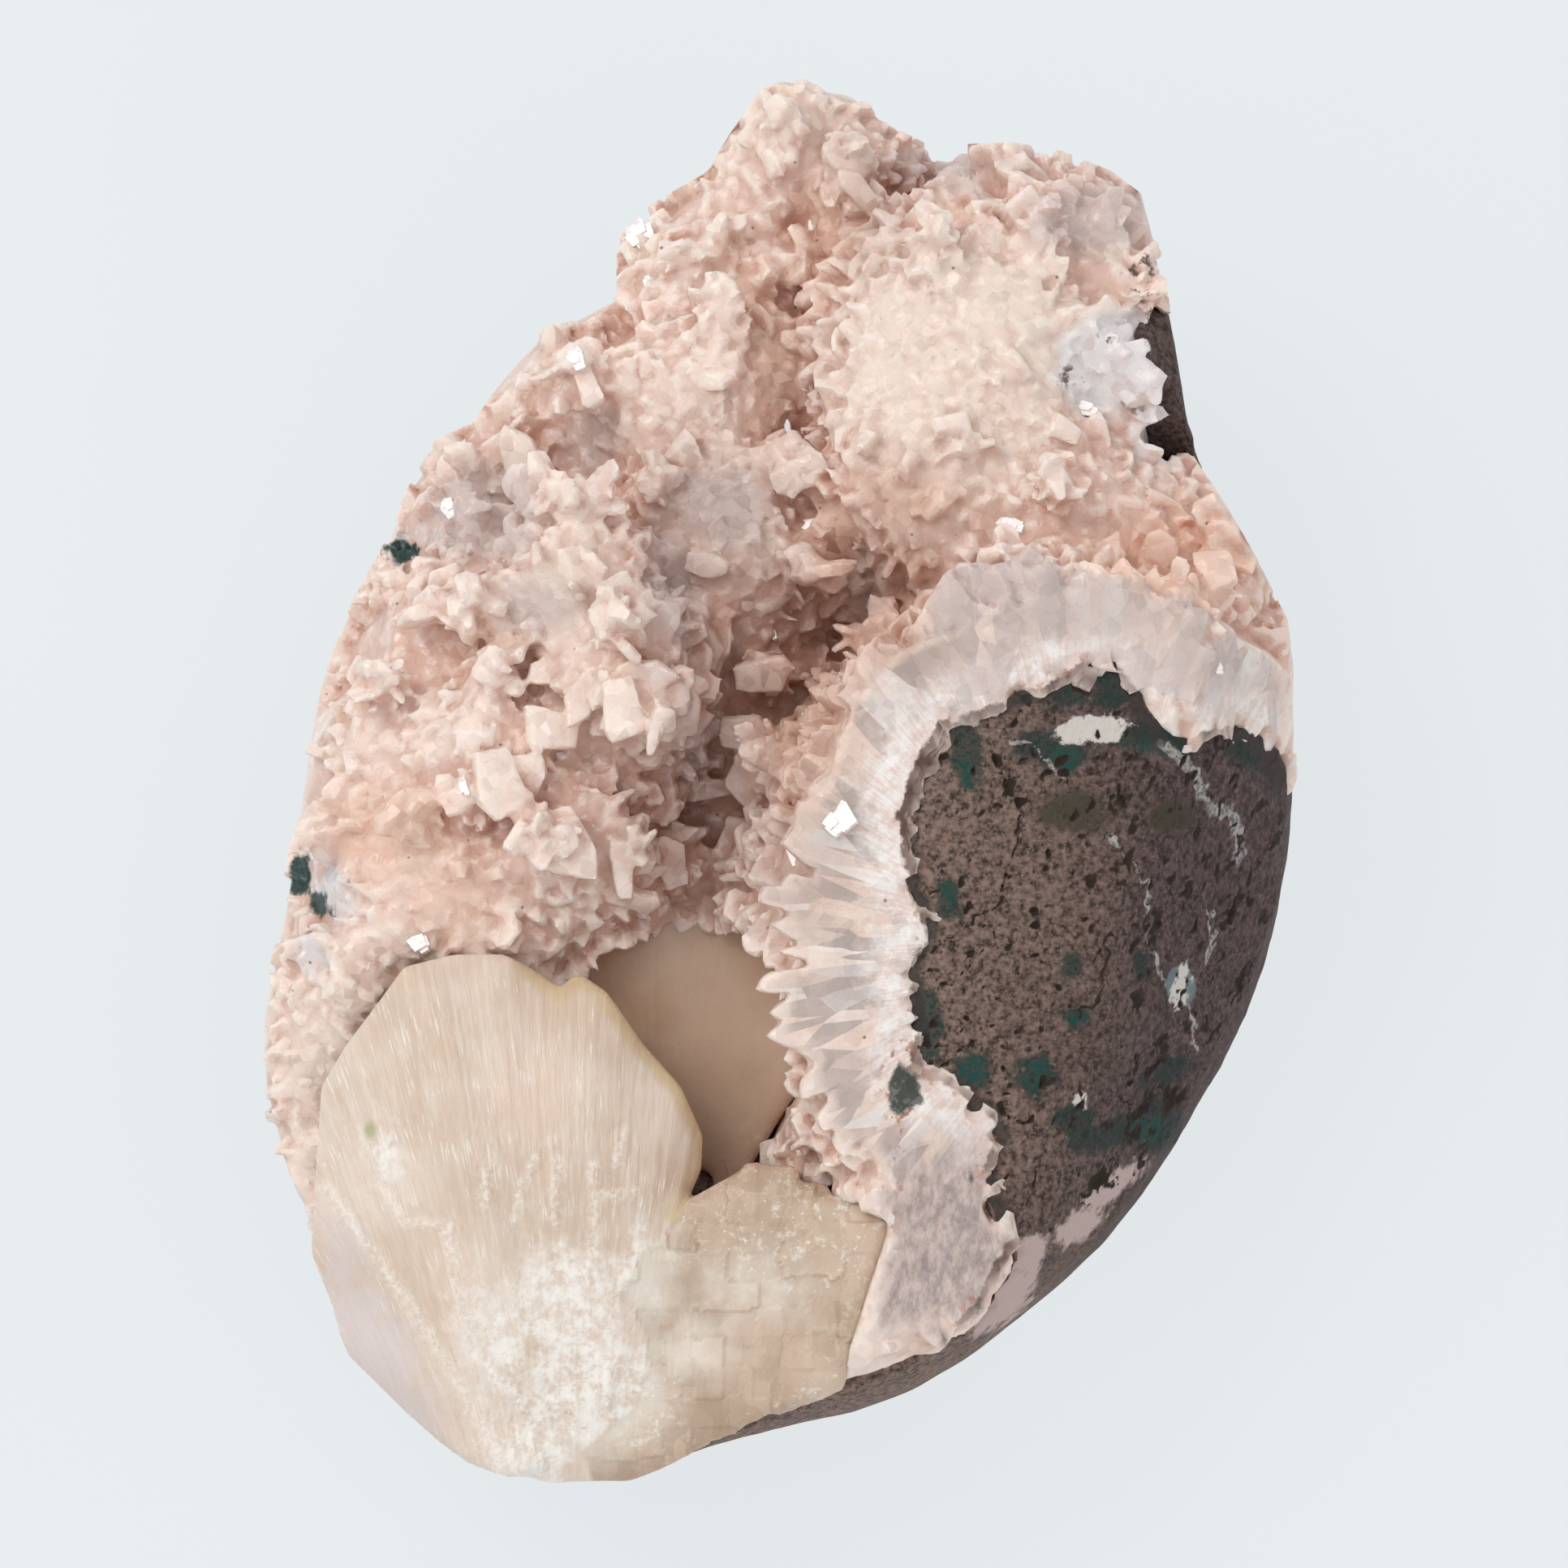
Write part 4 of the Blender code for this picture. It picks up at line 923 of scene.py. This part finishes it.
def crustMaterial(name):
    look = crustLook
    paint = Paint(name, look)
    where = paint.place()
    patch = paint.cloud(where, 14, 2)
    ragged = paint.times(paint.cloud(where, 2.4, 4, 0.6), 3.0, -1.5)

    def grown(key, edge=0.35, jitter=0.7, most=1.0):
        moved = paint.times(ragged, jitter, paint.attribute(key))
        return paint.between(moved, -edge, edge, 0, most)

    grain = paint.add("ShaderNodeTexVoronoi", {"Vector": where, "Scale": 1 / (look["grain"] * mm)})
    shade = paint.add("ShaderNodeSeparateColor", {"Color": grain.outputs["Color"]})
    # Painted shade and light: points that see less sky, in crevices and deep in the hollow, are painted darker
    # and redder, and open crystal tips are painted lighter; tint and the cells add each crystal's own tone.
    level = paint.times(paint.attribute("broad"), 0.9, -0.25)
    level = paint.times(paint.attribute("open"), 0.5, level)
    level = paint.times(paint.attribute("rise"), 0.14, level)
    level = paint.times(paint.attribute("tint"), 0.06, level)
    level = paint.times(shade.outputs[0], 0.16, level)
    level = paint.times(patch, 0.5, paint.times(level, 1, -0.35))
    paint.colour = paint.mixed(paint.between(level, -0.05, 0.45), look["deep"], look["body"])
    paint.coat(paint.between(level, 0.35, 0.95), "tip")
    # Painted highlight on crystal edges that bulge out, and painted shade in the gaps between the crystals.
    bulge = paint.times(paint.cloud(where, 0.7, 3, 0.6), 0.16, paint.attribute("bulge"))
    paint.coat(paint.between(bulge, 0.11, 0.28, 0, 0.6), "edge")
    paint.coat(paint.between(bulge, 0.05, -0.14, 0, 0.45), "gap")
    # Orange spots: the crust's salmon tone, and in the hollow also painted light that lifts its shade.
    paint.coat(grown("orange", 4, 2, 0.55), "orange")
    paint.coat(grown("pale", 5, 2, 0.45), "cream")
    grey = paint.times(ragged, 0.8, paint.attribute("grey"))
    paint.coat(paint.between(grey, -1, 4, 0, 0.8), "grey")
    chalk = paint.times(ragged, 1.8, paint.attribute("chalk"))
    paint.coat(paint.between(chalk, -0.5, 2.0, 0, 0.9), "chalk")
    # The ground ridge: streaks run out to the tips, which are cut crystals, with a rusty line at the basalt.
    fibre = paint.cloud(where, 1.2, 4, 0.7)
    bearing, toRim = paint.attribute("bearing"), paint.attribute("rim")
    rays = paint.joined(paint.times(bearing, 0.0016), paint.times(toRim, 0.0001))
    strand = paint.times(paint.cloud(rays, 1.0, 3, 0.7), 0.35)
    strand = paint.times(fibre, 0.30, strand)
    strand = paint.times(paint.cloud(where, 3.2, 4, 0.65), 0.35, strand)
    rim = paint.times(ragged, 2.2, paint.attribute("rim"))
    section = paint.mixed(paint.between(strand, 0.42, 0.56), look["section"], look["sectionPale"])
    outer = paint.mixed(paint.between(strand, 0.42, 0.60), look["tooth"], look["tip"])
    cut = paint.joined(paint.times(bearing, 0.0007), paint.times(toRim, 0.0003))
    cut = paint.add("ShaderNodeTexVoronoi", {"Vector": cut, "Scale": 450})
    cutShade = paint.add("ShaderNodeSeparateColor", {"Color": cut.outputs["Color"]})
    outer = paint.mixed(paint.between(cutShade.outputs[0], 0.2, 0.9, 0, 0.9), outer, look["cut"])
    outer = paint.mixed(paint.between(cutShade.outputs[1], 0.8, 0.95, 0, 0.7), outer, look["sectionPale"])
    section = paint.mixed(paint.between(rim, -7.5, -3), outer, section)
    section = paint.mixed(paint.between(grey, -1.5, 3, 0, 0.75), section, look["grey"])
    streaky = paint.between(paint.cloud(paint.place((1, 0.3, 1), (0, 0, 0.6)), 1.0, 4, 0.7), 0.35, 0.65)
    fadedTone = paint.mixed(paint.times(streaky, 0.6), look["faded"], look["section"])
    section = paint.mixed(grown("faded", 5, 3, 0.9), section, fadedTone)
    near = paint.times(ragged, 1.0, paint.attribute("rim"))
    dots = paint.between(paint.cloud(where, 1.6, 3, 0.6), 0.50, 0.60)
    rusty = paint.times(paint.between(near, -2.4, -0.4, 0, 0.95), dots)
    rusty = paint.times(rusty, paint.between(paint.cloud(where, 7, 2), 0.46, 0.54))
    section = paint.mixed(rusty, section, look["rust"])
    section = paint.mixed(paint.between(near, -0.75, -0.2), section, look["line"])
    section = paint.mixed(paint.times(grown("rust", 0.5, 0.8, 0.9), dots), section, look["rust"])
    paint.coat(paint.attribute("ground"), section)
    paint.coat(grown("inclusion", 0.3, 0.6), "inclusion")
    grit = paint.times(paint.between(fibre, 0.5, 0.6), grown("inclusion", 0.3, 0.6, 0.7))
    paint.coat(grit, "grit")
    paint.coat(paint.times(grown("brown", 0.5, 1.4), dots), "brown")
    paint.coat(grown("green", 0.35, 1.0), "green")
    # Painted shade: the crust is darkened and greyed in these spots, where it lies low in the hollow.
    paintedShade = grown("paintedShade", 5, 2, look["paintedShade"])
    paint.coat(paintedShade, look["paintedShadeTone"], "MULTIPLY")
    tone = paint.between(shade.outputs[1], 0, 1, 0.96, 1.03)
    paint.tone(tone)
    # Each cell is a facet that leans its own way.
    fine = paint.cloud(where, 0.5, 3, 0.6)
    tilt = paint.vectors("SUBTRACT", grain.outputs["Color"], (0.5, 0.5, 0.5)).outputs[0]
    inCell = paint.vectors("SUBTRACT", where, grain.outputs["Position"]).outputs[0]
    facet = paint.vectors("DOT_PRODUCT", tilt, inCell).outputs["Value"]
    relief = paint.times(fine, 0.15, paint.times(facet, 1 / mm))
    speck = paint.between(paint.cells(where, 5), 0.055, 0.03, 0, 0.75)
    paint.coat(speck, "brown")
    return paint.finished({
        "Base Color": paint.colour, "Roughness": paint.between(shade.outputs[2], 0.2, 0.9, 0.22, 0.5),
        "Subsurface Weight": look["light"], "Subsurface Radius": (1.0, 0.5, 0.35), "Subsurface Scale": 0.0015,
        "Specular IOR Level": 0.5, "Normal": paint.bumped(relief, look["relief"], 1.0),
    })


def glintMaterial():
    paint = Paint("heulandite glint")
    # Painted highlight: the glint tablets are coloured near white, on top of the lamp's own reflection in them.
    fine = paint.cloud(paint.place((1, 2.4, 1), (0, 0, 0.6)), 0.9, 3, 0.6)
    paint.colour = paint.mixed(paint.between(fine, 0.4, 0.6), (0.80, 0.68, 0.62, 1), (0.95, 0.93, 0.92, 1))
    return paint.finished({
        "Base Color": paint.colour, "Roughness": paint.between(fine, 0.40, 0.6, 0.15, 0.42),
        "Specular IOR Level": 0.9, "Normal": paint.bumped(fine, 0.5, 0.15),
    })


def dressCrust(piece, tree, baseFaces, shapes, extraGrey):  # what the material needs to know of each point
    source = np.random.default_rng(3)
    points, normals = pointsOf(piece), normalsOf(piece)
    ways = shapes[:, 8:].mean(axis=1) - shapes[:, :4].mean(axis=1)
    lengths = np.linalg.norm(ways, axis=1)
    tints = source.normal(size=len(shapes))
    nearest = np.array([tree.find_nearest(Vector(point))[2] for point in points])
    owner = np.where(nearest < baseFaces, -1, (nearest - baseFaces) // 10)
    grown = owner >= 0
    rise = np.zeros(len(points))
    along = ((points - shapes[:, :4].mean(axis=1)[owner]) * ways[owner]).sum(axis=1) / lengths[owner] ** 2
    rise[grown] = np.clip(along[grown], 0, 1)
    print("owners found")
    found = openness(points, normals, treeOf([piece]), crustLook["rays"], crustLook["reach"])
    openShare = spread(piece, found, 1)
    print("openness found")
    facing = np.max([normals @ normal for spot, normal in facetPlanes], axis=0)
    ground = smooth(-0.7, -0.25, overFacets(points)) * smooth(0.8, 0.93, facing)
    seen = seenAt(points)
    values = {key: spots(seen, places) for key, places in crustPlaces.items()}
    values["grey"] = np.maximum(values["grey"], np.where(grown, extraGrey[owner], 0) * 2 - 2)
    values |= {
        "open": openShare, "broad": spread(piece, openShare, 40), "rise": rise,
        "tint": np.where(grown, tints[owner], 0), "ground": spread(piece, ground, 1),
        "rim": insideBy(seen, bareBasalt), "bulge": ((points - evened(piece, 5, 0.5)) * normals).sum(axis=1),
        "bearing": np.degrees(np.arctan2(seen[:, 0] - ridgeMiddle[0], seen[:, 1] - ridgeMiddle[1])),
    }
    for key, value in values.items():
        setValues(piece, key, value)
    piece.data.shade_smooth()
    piece.data.set_sharp_from_angle(angle=math.radians(crustLook["sharp"]))
    piece.data.materials.append(crustMaterial("heulandite"))


# Stilbite. tile and tileStep are the steps of the block, outward how far the front is moved out, in mm.
stilbiteLook = {
    "voxel": 0.55, "bladeVoxel": 0.6, "cream": (0.74, 0.61, 0.51, 1), "tan": (0.62, 0.47, 0.355, 1),
    "pale": (0.82, 0.75, 0.66, 1), "white": (0.88, 0.82, 0.76, 1), "edge": (0.60, 0.45, 0.27, 1),
    "lilac": (0.66, 0.57, 0.56, 1), "pink": (0.76, 0.58, 0.46, 1), "honey": (0.44, 0.305, 0.21, 1),
    "honeyPale": (0.56, 0.42, 0.31, 1), "blade": (0.55, 0.36, 0.24, 1),
    "bladePale": (0.68, 0.49, 0.36, 1), "stain": (0.35, 0.36, 0.12, 1), "light": 0.4, "tile": 3.6,
    "tileStep": 0.6, "evening": 120, "outward": 0.4,
}
sheafRoot = (-25, -122)  # the fibres run out from here
bladeRoot = (-16, -60)
blockOutline = [
    (-12.1, -52.1), (-15.2, -56.2), (-18.3, -58.7), (-20.3, -63.3), (-17.2, -67.4), (-16.2, -75.1),
    (-24.9, -82.2), (-20, -95), (12, -95), (25, -60), (14, -40), (-3, -40),
]
# Edge of the sheaf that is thin and yellowish, and the frayed white edges of the blades on it.
sheafEdge = [
    (-31.6, -22.9), (-27.6, -25.6), (-25.4, -23.7), (-22.1, -25.9), (-17.6, -32.4), (-13.1, -37.4),
    (-10.4, -43.4), (-10.6, -47.4), (-13.1, -53.4),
]
frayed = [
    [(-56.3, -49.5), (-51, -57), (-45.3, -64.9), (-40, -74), (-35.1, -82.7)],
    [(-41.2, -54.7), (-40.2, -62.3), (-38.7, -68.9), (-34.1, -75.1)],
    [(-30.5, -46.3), (-32.4, -50.2), (-33.0, -54)], [(-20.1, -43), (-20.4, -47)],
    [(-27.8, -46), (-28.2, -54)], [(-23.4, -47), (-23.6, -60)],
    [(-18.4, -50.2), (-21, -50.8), (-23.0, -50.6)], [(-36.4, -47), (-36.8, -52)],
    [(-48.5, -43.5), (-49.2, -50), (-46.5, -54), (-42, -54.5)], [(-17.5, -57), (-20, -62)],
]
# Oval spots of the sheaf.
stilbitePlaces = {
    "white": [
        (-27, -64, 8, 7), (-24, -74, 9, 8), (-31, -82, 6, 5), (-49, -46.4, 2.0, 3.2, 30), (-18, -61, 4, 5),
        (-35, -70, 4, 8, 20), (-12, -70, 3, 2.5), (-4, -62, 3, 1.6),
    ],
    "lilac": [(-51, -69, 6, 12, 25), (-46, -78, 5, 6), (-54, -60, 3, 8)],
    "pink": [
        (-41.5, -60, 5, 9, 10), (-31, -38, 6, 8), (-3, -66, 5, 6), (3, -72, 4, 5), (10, -58, 3, 6),
        (-6, -72, 5, 4),
    ],
    "stain": [(-50.6, -42.7, 0.8, 1.2)],
}


def makeStilbite(name, node, voxel, root, rib):
    piece = refinedCopy(name, node, voxel)
    setPoints(piece, evened(piece, 3, 0.45))
    front = smooth(0.55, 0.8, normalsOf(piece) @ toEye)
    setPoints(piece, evened(piece, stilbiteLook["evening"], 0.5 * spread(piece, front, 3)))
    points, normals = pointsOf(piece), normalsOf(piece)
    seen = seenAt(points)
    away = seen - np.array(root)
    bearing = np.degrees(np.arctan2(away[:, 0], away[:, 1]))
    reach = np.linalg.norm(away, axis=1)
    facing = smooth(0.2, 0.6, normals @ toEye)
    block = insideBy(seen, blockOutline)
    fan = facing * smooth(0.5, -0.5, block)

    def ribs(across, along, seed):
        return np.array([noise.noise(Vector((b * across, r * along, seed))) for b, r in zip(bearing, reach)])

    values = {key: spots(seen, places) for key, places in stilbitePlaces.items()}
    fraying = fromLines(seen, frayed)
    step = 0.35 * smooth(0.9, 0.1, fraying + 0.4 * noiseAt(points, 1.2))
    coarse = smooth(-4, 3, np.maximum(values["white"], 2 - fraying))
    torn = step + 0.9 * coarse * np.abs(ribs(1.1, 0.09, 3.5))
    fibres = ribs(0.5, 0.02, 1.5) * 0.15 + ribs(1.8, 0.04, 7.5) * 0.2
    lifted = stilbiteLook["outward"] + fan * rib * (fibres + torn)
    lifted += fan * 0.15 * coarse * noiseAt(points, 1.3, 4.0)
    flat = np.column_stack((seen, np.zeros(len(seen))))
    tiles = np.floor(seen / stilbiteLook["tile"] + 0.25 * vectorNoise(flat, 9, 0)[:, :2])
    raised = np.array([noise.cell(Vector((*tile, 2.0))) for tile in tiles])
    lifted += facing * smooth(-0.5, 0.5, block) * stilbiteLook["tileStep"] * raised * rib
    setPoints(piece, points + normals * lifted[:, None])
    values |= {
        "bearing": bearing, "reach": reach, "across": seen[:, 0], "upward": seen[:, 1], "block": block,
        "frayed": fraying, "edge": fromLine(seen, sheafEdge),
    }
    for key, value in values.items():
        setValues(piece, key, value)
    return piece


def stilbiteMaterial(name, front, back, fibres):
    look = stilbiteLook
    paint = Paint(name, look)
    where = paint.place()
    bearing, reach = paint.attribute("bearing"), paint.attribute("reach")

    def along(across, length):  # noise drawn out along the blades: width and length of its features in mm
        fan = paint.joined(paint.times(bearing, 0.0014 / across), paint.times(reach, 0.001 / length))
        return paint.cloud(fan, 1.0, 3, 0.6)

    def spot(key, low, high, most, jitter=1.2):
        moved = paint.times(ragged, jitter, paint.attribute(key))
        return paint.between(moved, low, high, 0, most)

    patch = paint.cloud(where, 16, 3)
    ragged = paint.times(paint.cloud(where, 3.0, 4, 0.6), 6.0, -3.0)
    speck = paint.cloud(where, 0.7, 3, 0.7)
    clumps = paint.times(paint.cloud(where, 2.4, 4, 0.7), 0.65)
    clumps = paint.times(speck, 0.35, clumps)
    flat = paint.joined(paint.attribute("across"), paint.attribute("upward"))
    drift = paint.add("ShaderNodeTexNoise", {"Vector": flat, "Scale": 0.1}).outputs["Color"]
    bent = paint.vectors("ADD", flat, drift).outputs[0]
    tile = paint.add("ShaderNodeTexVoronoi", {"Vector": bent, "Scale": 0.35}, distance="CHEBYCHEV")
    shade = paint.add("ShaderNodeSeparateColor", {"Color": tile.outputs["Color"]})
    paint.colour = paint.mixed(paint.between(patch, 0.35, 0.68), look[front], look[back])
    paint.coat(paint.times(paint.between(along(0.9, 9), 0.45, 0.7), fibres * 0.4), "pale")
    paint.coat(spot("pink", -2, 5, 0.6), "pink")
    honey = paint.mixed(shade.outputs[0], look["honey"], look["honeyPale"])
    honey = paint.mixed(paint.between(patch, 0.4, 0.65, 0, 0.6), honey, look["tan"])
    honey = paint.mixed(spot("pink", -2, 4, 0.5), honey, look["pink"])
    honey = paint.mixed(spot("white", -5, 3, 0.7), honey, look["pale"])
    flecks = paint.times(paint.between(speck, 0.62, 0.70), paint.between(patch, 0.4, 0.6, 0.1, 0.9))
    honey = paint.mixed(flecks, honey, look["white"])
    clouded = paint.times(paint.between(clumps, 0.52, 0.62, 0, 0.6), paint.between(patch, 0.35, 0.6))
    honey = paint.mixed(clouded, honey, look["pale"])
    inBlock = paint.between(paint.times(ragged, 0.2, paint.attribute("block")), -0.4, 0.4)
    streaks = paint.between(paint.cloud(where, 6, 3), 0.40, 0.58, 0.1, 0.9)
    streaks = paint.times(paint.between(along(0.25, 4), 0.56, 0.66), streaks)
    dusky = paint.times(paint.between(along(0.35, 7), 0.47, 0.33, 0, 0.75), fibres)
    paint.coat(dusky, "tan")
    paint.coat(paint.times(streaks, fibres), "white")
    paint.coat(spot("lilac", -1.5, 4, 0.75), "lilac")
    white = paint.times(ragged, 1.6, paint.attribute("white"))
    crumbs = paint.between(clumps, 0.40, 0.58, 0.25, 1.0)
    paint.coat(paint.times(paint.between(white, -2.5, 3.0, 0, 0.95), crumbs), "white")
    edged = paint.times(ragged, 0.15, paint.attribute("edge"))
    paint.coat(paint.times(paint.between(edged, 2.0, 0.6), fibres), "edge")
    torn = paint.times(ragged, 0.25, paint.attribute("frayed"))
    torn = paint.times(paint.between(torn, 1.4, 0.0, 0, 0.8), paint.between(speck, 0.42, 0.62, 0.1, 0.9))
    paint.coat(paint.times(torn, fibres), "white")
    paint.coat(paint.times(inBlock, 1.0 if fibres > 0.5 else 0.0), honey)
    stained = paint.between(paint.times(ragged, 0.2, paint.attribute("stain")), -0.4, 0.5, 0, 0.65)
    paint.coat(stained, "stain")
    height = paint.times(along(0.4, 6), fibres, paint.times(speck, 0.3))
    height = paint.times(inBlock, paint.times(shade.outputs[0], 0.8), height)
    return paint.finished({
        "Base Color": paint.colour, "Roughness": paint.between(speck, 0.3, 0.7, 0.28, 0.5),
        "Subsurface Weight": look["light"], "Subsurface Radius": (1.0, 0.6, 0.4), "Subsurface Scale": 0.004,
        "Specular IOR Level": 0.5, "Normal": paint.bumped(height, 0.4, 0.4),
    })


# Stage
stageLook = {
    "floor": (0.10, 0.107, 0.11, 1), "glow": (0.80, 0.835, 0.86, 1), "glowStrength": 0.885,
    "sky": 0.83, "skyColour": (0.93, 0.97, 1.0, 1),
}
# Lamps: place in m, size, power and colour. They point at one place over the floor.
lamps = {
    "key": ((-0.50, 0.25, 0.85), 0.55, 2.6, (1.0, 0.98, 0.95)),
    "glint": ((-0.42, 0.16, 0.92), 0.07, 0.6, (1.0, 1.0, 1.0)),
    "fill": ((0.35, -0.55, 0.8), 0.8, 0.75, (0.95, 0.98, 1.0)),
}
lampsAt = (0, 0, 0.04)


def makeStage():
    bm = bmesh.new()
    bmesh.ops.create_grid(bm, x_segments=8, y_segments=8, size=3.0)
    mesh = bpy.data.meshes.new("floor")
    bm.to_mesh(mesh)
    bm.free()
    floor = linked("floor", mesh)
    floor.location = (0, 0, -0.0003)
    paint = Paint("floor")
    where = paint.place()
    faint = paint.between(paint.cloud(where, 300, 2), 0.3, 0.7, 0.98, 1.0)
    paint.finished({
        "Base Color": stageLook["floor"], "Roughness": 0.9, "Specular IOR Level": 0.0,
        "Emission Color": stageLook["glow"],
        "Emission Strength": paint.times(faint, stageLook["glowStrength"]),
    })
    floor.data.materials.append(paint.material)
    world = bpy.data.worlds.new("studio")
    world.use_nodes = True
    background = world.node_tree.nodes["Background"]
    background.inputs["Color"].default_value = stageLook["skyColour"]
    background.inputs["Strength"].default_value = stageLook["sky"]
    bpy.context.scene.world = world
    for name, values in lamps.items():
        addLamp(name, *values)
    settings = bpy.context.scene.view_settings
    settings.view_transform = "Standard"
    settings.look = "None"


def addLamp(name, spot, size, power, colour):
    lamp = bpy.data.lights.new(name, "AREA")
    lamp.size = size
    lamp.energy = power
    lamp.color = colour
    placedLamp = linked(name, lamp)
    placedLamp.location = spot
    placedLamp.rotation_euler = (Vector(spot) - Vector(lampsAt)).to_track_quat("Z", "Y").to_euler()


def makeCamera():
    lens = bpy.data.cameras.new("camera")
    lens.lens = view["lens"]
    lens.sensor_width = view["sensor"]
    lens.clip_end = 20
    camera = linked("camera", lens)
    camera.location = Vector(eye) * mm
    camera.rotation_euler = Vector(toEye).to_track_quat("Z", "Y").to_euler()
    bpy.context.scene.camera = camera


makeCamera()
makeStage()
basalt = makeBasalt()
print("basalt made")
sheaf = makeStilbite("stilbite_front_sheaf", "stilbite_sheaf", stilbiteLook["voxel"], sheafRoot, 0.5)
sheaf.data.materials.append(stilbiteMaterial("stilbite sheaf", "cream", "tan", 0.8))
blade = makeStilbite("stilbite_rear_blade", "stilbite_blade", stilbiteLook["bladeVoxel"], bladeRoot, 0.12)
blade.data.materials.append(stilbiteMaterial("stilbite rear blade", "bladePale", "blade", 0.12))
print("stilbite made")
core, ground = makeCrust()
print("crust evened")
shapes, extraGrey, glintShapes = growCrystals(core, ground, treeOf([sheaf, blade]))
print("crystals", len(shapes))
druse, tree, baseFaces = mergeCrust(core, shapes)
bpy.data.objects.remove(core)
dressCrust(druse, tree, baseFaces, shapes, extraGrey)
glint = makeMesh("heulandite_glints", glintShapes.reshape(-1, 3), facesOf(len(glintShapes)).tolist())
glint.data.materials.append(glintMaterial())

for piece, node, slot in (
    (basalt, "basalt_matrix", "basalt"), (druse, "heulandite_crust", "heulandite"),
    (glint, "heulandite_crust", "heulandite"),
    (sheaf, "stilbite_sheaf", "stilbite"), (blade, "stilbite_blade", "stilbite"),
):
    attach(piece, "root")
    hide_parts(node)
